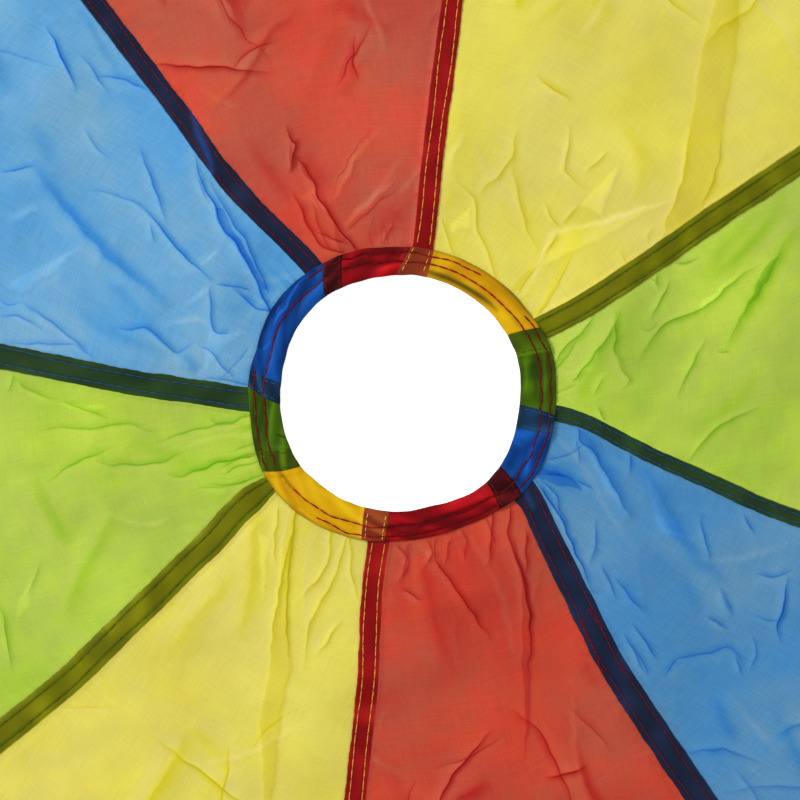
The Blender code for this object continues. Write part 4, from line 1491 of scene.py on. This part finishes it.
@functools.cache
def cloth_surface(colour):
    """Thin nylon taffeta; its tint comes with the mesh."""
    surface, tree, shader = new_surface(f"taffeta_{colour}", {"Specular IOR Level": 0.08})
    do = functools.partial(maths, tree)
    weave_in, weave = grouped(tree, plain_weave_group())
    weave_in["Contrast"].default_value = WEAVE_CONTRASTS[colour]
    tree.links.new(flat_map(tree, "cloth"), weave_in["Vector"])
    woven = brightened(tree, attribute(tree, "cloth_tint")["Color"], weave["Shade"])

    # One more layer's colour on the crease lines, with their painted shade, and on cloth folded
    # double
    one, two = (linear(CLOTH_TONES[colour][i]) for i in (0, 2))
    deeper = [min(b / a, 1) for a, b in zip(one, two)]
    lines_in, lines = grouped(tree, crease_lines_group())
    lines_in["Half Width"].default_value = 0.48
    for name, slot in (("crease_place", "Place"), ("crease_weight", "Weight")):
        tree.links.new(attribute(tree, name)["Vector"], lines_in[slot])
    folded, bright = within(tree, "double_edge", 0.35), within(tree, "pale_edge", 0.9)
    painted = deepen(tree, woven, deeper, do("MULTIPLY", lines["Dark"], LINE_DARK[colour]))
    painted = deepen(tree, painted, deeper, do("MULTIPLY", folded, DOUBLED_DARK[colour]))
    # Painted highlight on flat facets that catch the light and on the pale side of each crease
    paler = do("MULTIPLY_ADD", bright, 0.15, do("MULTIPLY", lines["Pale"], 0.18))
    tree.links.new(brightened(tree, painted, do("ADD", paler, 1.0)), shader["Base Color"])

    tree.links.new(do("MULTIPLY_ADD", weave["Height"], 0.10, 0.40), shader["Roughness"])
    height = do("MULTIPLY_ADD", lines["Height"], 0.28 * MM,
                do("MULTIPLY", weave["Height"], 0.012 * MM))
    raise_surface(tree, shader, height, 1.0, 1.0)
    return surface


@functools.cache
def thread_surface(name, colour):
    """Spun sewing thread, lighter and darker along its fine twist."""
    surface, tree, shader = new_surface(name, {"Roughness": 0.6, "Specular IOR Level": 0.1})
    where = tree.nodes.new("ShaderNodeTexCoord").outputs["Object"]
    twist = noise_over(tree, where, 900, 2)
    low, high = [c * 0.72 for c in linear(colour)], [min(c * 1.3, 1) for c in linear(colour)]
    spun = ramped(tree, twist, ((0.3, low), (0.7, high)))
    # Painted light: a hem's thread is brightened by its glow, as if lit through the cloth below
    tree.links.new(brightened(tree, spun, attribute(tree, "glow")["Fac"]), shader["Base Color"])
    raise_surface(tree, shader, twist, 0.4, 0.05 * MM)
    return surface


@functools.cache
def webbing_surface():
    """Black strap webbing with a slight sheen."""
    surface, tree, shader = new_surface("black_webbing", {"Roughness": 0.62, "Sheen Weight": 0.12})
    weave_in, weave = grouped(tree, webbing_weave_group())
    tree.links.new(flat_map(tree, "strap"), weave_in["Vector"])
    low, high = (linear(colour) for colour in WEBBING_TONES)
    # The weave's painted shade darkens the webbing in its grooves
    tree.links.new(ramped(tree, weave["Shade"], ((0, low), (1, high))), shader["Base Color"])
    raise_surface(tree, shader, weave["Height"], 0.6, 0.25 * MM)
    return surface


# Stitches

# Where a seam's sewing was started again: stitches sewn over the first ones, in photo pixels
SEWN_BACK = {
    (5, "near"): (((590, 607), (592, 615), (596, 621), (602, 620)),
                  ((594, 616), (601, 628), (609, 645), (622, 672))),
    (5, "far"): (((578, 618), (583, 621), (587, 613), (590, 606)),
                 ((579, 619), (586, 634), (594, 651), (603, 674))),
}
# Seam stitches: their pitch and length as shares of a stitch, their thickness and how high they
# lie over the cloth in mm: on the seam, over the centre hem, and where they were sewn twice
ON_SEAM = (1, 1.04, 0.40, 0.12)
OVER_HEM = (0.62, 0.5, 0.45, 0.10)
SEWN_TWICE = (0.8, 0.8, 0.45, 0.14)
# Rows round the hems: name, how far from the flap's edge, whether on the outer hem, points to a
# gore, thickness, a stitch's share of its pitch, seed, and the photo degrees between which a
# fold of the hem hides it
HEM_THREADS = (
    ("centre_hem_{}_outer_row", HEM_ROW, False, 40, 0.74 * MM, 1.10, 5,
     ((128, 171), (31, 56), (209, 237))),
    ("centre_hem_{}_inner_row", HEM_ROW + HEM_ROWS_APART, False, 40, 0.74 * MM, 1.10, 6,
     ((209, 222),)),
    ("outer_hem_{}_inner_row", HEM_ROW, True, 60, 0.6 * MM, 0.95, 7, ()),
    ("outer_hem_{}_outer_row", HEM_ROW + HEM_ROWS_APART, True, 60, 0.6 * MM, 0.95, 8, ()),
)
# How far a hidden stitch lies under the cloth
SUNK = 1.1 * MM
# How far each coordinate of a thread strays, and the size of its waves, in mm
THREAD_STRAY = (0.05, 3), (0.05, 3), (0.03, 4)


def stitch_run(points, pitch, length, thick, closed=False):
    """A row of stitches along a run of points: one low bead, repeated and bent along it."""
    points = [tuple(p) for p in points]
    ends = zip(points, points[1:] + points[:1] if closed else points[1:])
    total = sum(math.dist(a, b) for a, b in ends)
    count = max(1, round(total / pitch))
    pitch = total / count
    shape = bmesh.new()
    flattened = Matrix.Diagonal((length / 2, thick / 2, thick / 2, 1))
    place = (Matrix.Translation((pitch / 2, 0, 0)) @ flattened
             @ Matrix.Rotation(math.pi / 2, 4, "Y"))
    bmesh.ops.create_uvsphere(shape, u_segments=6, v_segments=5, radius=1, matrix=place)
    bmesh.ops.recalc_face_normals(shape, faces=shape.faces)
    bead = mesh_from(shape, "stitch")

    line = bpy.data.curves.new("stitch_line", "CURVE")
    line.dimensions = "3D"
    line.twist_mode = "Z_UP"
    spline = line.splines.new("POLY")
    spline.points.add(len(points) - 1)
    spline.points.foreach_set("co", np.column_stack((points, np.ones(len(points)))).ravel())
    spline.use_cyclic_u = closed
    guide, row = add_object("stitch_line", line), add_object("stitch_row", bead)
    repeat = row.modifiers.new("repeat", "ARRAY")
    repeat.count = count
    repeat.use_relative_offset = False
    repeat.use_constant_offset = True
    repeat.constant_offset_displace = (pitch, 0, 0)
    row.modifiers.new("bend", "CURVE").object = guide
    made = applied(row)
    for each in (guide, row):
        bpy.data.objects.remove(each)
    bpy.data.curves.remove(line)
    bpy.data.meshes.remove(bead)
    return made


def glow_over_cloth(x, y):
    """Painted light: how much lighter a hem's thread is made, by the colour of the gore it lies on.
    """
    share = (FIRST_GORE + GORE / 2 - np.arctan2(y, x)) % (2 * math.pi) / GORE
    return np.array([HEM_THREAD_GLOWS[c] for c in COLOURS])[share.astype(int) % 8]


def finish_threads(runs, name, node, colour, slot, glow=None):
    """Runs of stitches as one piece, each stitch a little unlike the next."""
    shape = bmesh.new()
    for run in runs:
        shape.from_mesh(run)
        bpy.data.meshes.remove(run)
    mesh = mesh_from(shape, name)
    spot = mesh_places(mesh)
    x, y = spot[:, 0].copy(), spot[:, 1].copy()
    for axis, (far, size) in enumerate(THREAD_STRAY):
        spot[:, axis] += far * MM * waves(x, y, size * MM, 301 + axis)
    mesh.vertices.foreach_set("co", spot.ravel())
    set_smooth(mesh)
    # Painted light on a hem's thread, by the cloth under it
    lighter = np.ones(len(x)) if glow is None else glow(x, y)
    mesh.attributes.new("glow", "FLOAT", "POINT").data.foreach_set("value", lighter)
    mesh.materials.clear()
    mesh.materials.append(thread_surface(slot, colour))
    mesh.update()
    row = add_object(name, mesh)
    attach(row, "canopy")
    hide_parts(node)


def sew(x, y, rise, pitch, length, thick, over):
    """Stitches along these places, on cloth that rises so much over the ground."""
    z = ground(x, y) + FLOOR_GAP + rise + over * MM
    return stitch_run(np.stack((x, y, z), 1), STITCH * pitch, STITCH * length, thick * MM)


def build_seam_threads(number):
    """Both rows of a seam, and where the same rows come over the centre hem."""
    owner = after(number)
    pair = (COLOURS[number - 1], COLOURS[owner - 1])
    for row, side in (("near", 1), ("far", -1)):
        radius = np.arange(HEM_EDGE + 1 * MM, OUTER_EDGE - 1 * MM, 2 * MM)
        drift = 0.25 * MM * waves(radius, 0 * radius, 45 * MM, number * 2 + side)
        shown = seam_half(number, radius) / (SEAM / 2)
        off = side * SEAM_ROWS / 2 * shown + drift
        angle = seam_angle(number, radius, number) + off / radius + gore_angle(number)
        runs = [sew(radius * np.cos(angle), radius * np.sin(angle), SEAM_RISE, *ON_SEAM)]

        share = np.linspace(0.98, 0.06, 12)
        inner, outer = (turned_angle(number, share, owner, edge) for edge in (False, True))
        place = 0.14 if side > 0 else 0.86
        angle = inner + (outer - inner) * place
        form = flap_form(owner, share, angle, np.full(12, UNDER), np.full(12, place),
                         np.zeros(12, dtype=bool))[0]
        world = angle + gore_angle(owner)
        reach = RIM + share * (CENTRE_HEM - form / 2) + form / 2 + hem_drift(world, share)
        runs.append(sew(reach * np.cos(world), reach * np.sin(world), form, *OVER_HEM))

        for pixels in SEWN_BACK.get((number, row), ()):
            runs.append(sew(*np.array(places(pixels)).T, SEAM_RISE, *SEWN_TWICE))
        finish_threads(runs, f"seam_{number}_stitches_{row}", f"seam_{number}_thread_{row}",
                       THREAD_TONES[pair], "thread_{}_{}".format(*pair))


def sunk(world, hidden):
    """How far the stitches lie under the cloth at each angle."""
    depth = 0 * world
    for start, end in hidden:
        into = (np.degrees(world + PHOTO_TURN) - start) % 360
        under = ease(into / 3) * ease((end - start - into) / 3) * (into < end - start)
        depth = np.maximum(depth, under)
    return depth * SUNK


def hem_line(inset, outer, steps, seed, hidden):
    """A row of stitches right round a hem, over every turned seam."""
    rim, width, sign = (CANOPY, OUTER_HEM, -1) if outer else (RIM, CENTRE_HEM, 1)
    wander, clearance = (40 * MM, 0.30 * MM) if outer else (10 * MM, 0.14 * MM)
    is_outer, under = np.full(steps, outer), np.full(steps, UNDER)
    points = []
    for number in range(8, 0, -1):
        columns = np.linspace(1, 0, steps, endpoint=False)
        around = gore_angle(number) + (columns - 0.5) * GORE
        share = np.full(steps, 1 - inset / width)
        share = share + sign * 0.36 * MM / width * waves(around * rim, 0 * around, wander, seed)
        first = flap_share_angle(number, share, 0 * columns, under, is_outer)
        last = flap_share_angle(after(number), share, 0 * columns, under, is_outer) - GORE
        angle = first + (last - first) * columns
        back_strip = flap_share_angle(number, share, 1 + 0 * columns, under, is_outer)
        part = np.where(angle > back_strip, UNDER, INSIDE)
        column = np.where(part == UNDER, 0.5, (back_strip - angle) / (back_strip - last))
        form = flap_form(number, share, angle, part, column, is_outer)[0]
        world = angle + gore_angle(number)
        reach = rim + sign * (share * (width - form / 2) + form / 2)
        if not outer:
            reach = reach + hem_drift(world, share)
        x, y = reach * np.cos(world), reach * np.sin(world)
        z = ground(x, y) + FLOOR_GAP + form + clearance - sunk(world, hidden)
        points += list(np.stack((x, y, z), 1))
    return points


def build_hem_threads():
    """Two rows of stitches right round each hem."""
    for name, inset, outer, steps, thick, filled, seed, hidden in HEM_THREADS:
        line = hem_line(inset, outer, steps, seed, hidden)
        run = stitch_run(line, STITCH, STITCH * filled, thick, closed=True)
        finish_threads([run], name.format("stitches"), name.format("thread"), HEM_THREAD_TONE,
                       "thread_hem", glow_over_cloth)


# Handles

WEBBING_WIDTH = 25 * MM
WEBBING = 1.5 * MM
TAB_LENGTH = 24 * MM
HINGE_RADIUS = CANOPY + 2 * MM
HINGE_HEIGHT = 6.0 * MM
HINGE_LIFT = 0.3 * MM
LOOP_LENGTH = 112 * MM
LOOP_NECK = 7 * MM
LOOP_END = 12 * MM
LOOP_SWELL = 8 * MM
STRAP_GAP = 0.3 * MM
BOX_STITCH = 17 * MM
STRAP_COLUMNS = 10
# The webbing's rounded edge, and how far its middle stands up
STRAP_EDGE, STRAP_CROWN = 0.5 * MM, 0.10 * MM
# How far the strap's ends and the box stitch stay inside the solids'
INSET = 0.3 * MM
# The box's stitches, and how high they lie over the strap
BOX_PITCH, BOX_LENGTH, BOX_THICK, BOX_RISE = 2.8 * MM, 2.6 * MM, 0.5 * MM, 0.15 * MM


def strap_path():
    """Middle line of the strap, from the hinge outwards: sewn end, loop, other sewn end."""
    floor = WEBBING / 2 - HINGE_HEIGHT
    upper = -HINGE_LIFT - WEBBING / 2
    lower = upper - WEBBING - STRAP_GAP
    far = LOOP_LENGTH - LOOP_END - WEBBING / 2
    top = floor + 2 * LOOP_END
    run = far - LOOP_NECK
    dip = LOOP_NECK + run * 0.25
    down = (LOOP_NECK + dip) / 2
    bow = LOOP_END * 4 / 3
    swell = run * 0.33
    inner = -TAB_LENGTH + INSET
    stretches = (
        ((inner, lower), (inner, lower), (LOOP_NECK, lower), (LOOP_NECK, lower), 21),
        ((LOOP_NECK, lower), (down, lower), (down, floor), (dip, floor), 14),
        ((dip, floor), (dip, floor), (far, floor), (far, floor), 16),
        ((far, floor), (far + bow, floor), (far + bow, top), (far, top), 19),
        ((far, top), (far - swell, top + LOOP_SWELL), (LOOP_NECK + swell, upper),
         (LOOP_NECK, upper), 22),
        ((LOOP_NECK, upper), (LOOP_NECK, upper), (inner, upper), (inner, upper), 21),
    )
    path = []
    for *knots, count in stretches:
        points = interpolate_bezier(*[Vector((out, 0, up)) for out, up in knots], count)
        path += points if not path else points[1:]
    return path


def build_strap(number):
    """One strap from sewn end to sewn end, round through its loop."""
    turn = gore_angle(number)
    path = strap_path()
    shape = bmesh.new()
    bmesh.ops.create_grid(shape, x_segments=len(path) - 1, y_segments=STRAP_COLUMNS, size=1)
    reach = [0.0]
    for a, b in zip(path, path[1:]):
        reach.append(reach[-1] + (b - a).length)

    def step_of(vert):
        return round((vert.co.x + 1) / 2 * (len(path) - 1))

    uv = shape.loops.layers.uv.new("strap")
    for face in shape.faces:
        for corner in face.loops:
            across = corner.vert.co.y * WEBBING_WIDTH / 2
            corner[uv].uv = (across, reach[step_of(corner.vert)])
        face.smooth = True
    for vert in shape.verts:
        step, side = step_of(vert), vert.co.y
        way = (path[min(step + 1, len(path) - 1)] - path[max(step - 1, 0)]).normalized()
        crown = Vector((-way.z, 0, way.x)) * (STRAP_CROWN * (1 - side * side))
        vert.co = path[step] + Vector((0, side * (WEBBING_WIDTH / 2 - STRAP_EDGE), 0)) + crown
    put = Matrix.Rotation(turn, 4, "Z") @ Matrix.Translation((HINGE_RADIUS, 0, HINGE_HEIGHT))
    bmesh.ops.transform(shape, verts=shape.verts, matrix=put)
    name = f"handle_{number}_strap"
    mesh = mesh_from(shape, name)
    mesh.materials.append(webbing_surface())
    strap = add_object(name, mesh)
    thickness = strap.modifiers.new("thickness", "SOLIDIFY")
    thickness.thickness = WEBBING - STRAP_CROWN
    thickness.offset = 0
    soften = strap.modifiers.new("woven_edge", "BEVEL")
    soften.width = STRAP_EDGE
    soften.segments = 3
    soften.limit_method = "ANGLE"
    soften.angle_limit = math.radians(50)
    finished = applied(strap)
    strap.modifiers.clear()
    strap.data = finished
    way = Vector((math.cos(turn), math.sin(turn), 0))
    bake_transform(strap)
    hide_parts(f"handle_{number}_tab", f"handle_{number}_loop")


def build_box_stitch(number):
    """A square of stitches with a cross in it, through the sewn ends."""
    turn = gore_angle(number)
    way = Vector((math.cos(turn), math.sin(turn)))
    across = Vector((-way.y, way.x))
    middle = way * (HINGE_RADIUS - TAB_LENGTH / 2)
    half = BOX_STITCH / 2 - INSET
    top = HINGE_HEIGHT - HINGE_LIFT + BOX_RISE
    corners = [(*(middle + way * half * a + across * half * b), top)
               for a, b in ((1, 1), (-1, 1), (-1, -1), (1, -1))]
    runs = [stitch_run((corners[a], corners[b]), BOX_PITCH, BOX_LENGTH, BOX_THICK)
            for a, b in ((0, 1), (1, 2), (2, 3), (3, 0), (0, 2), (1, 3))]
    finish_threads(runs, f"handle_{number}_box_stitch", f"handle_{number}_stitch",
                   HEM_THREAD_TONE, "thread_hem")


build_camera()
build_floor()
build_light()
for number in range(1, 9):
    build_gore(number)
    build_seam_threads(number)
    build_strap(number)
    build_box_stitch(number)
build_hem_threads()
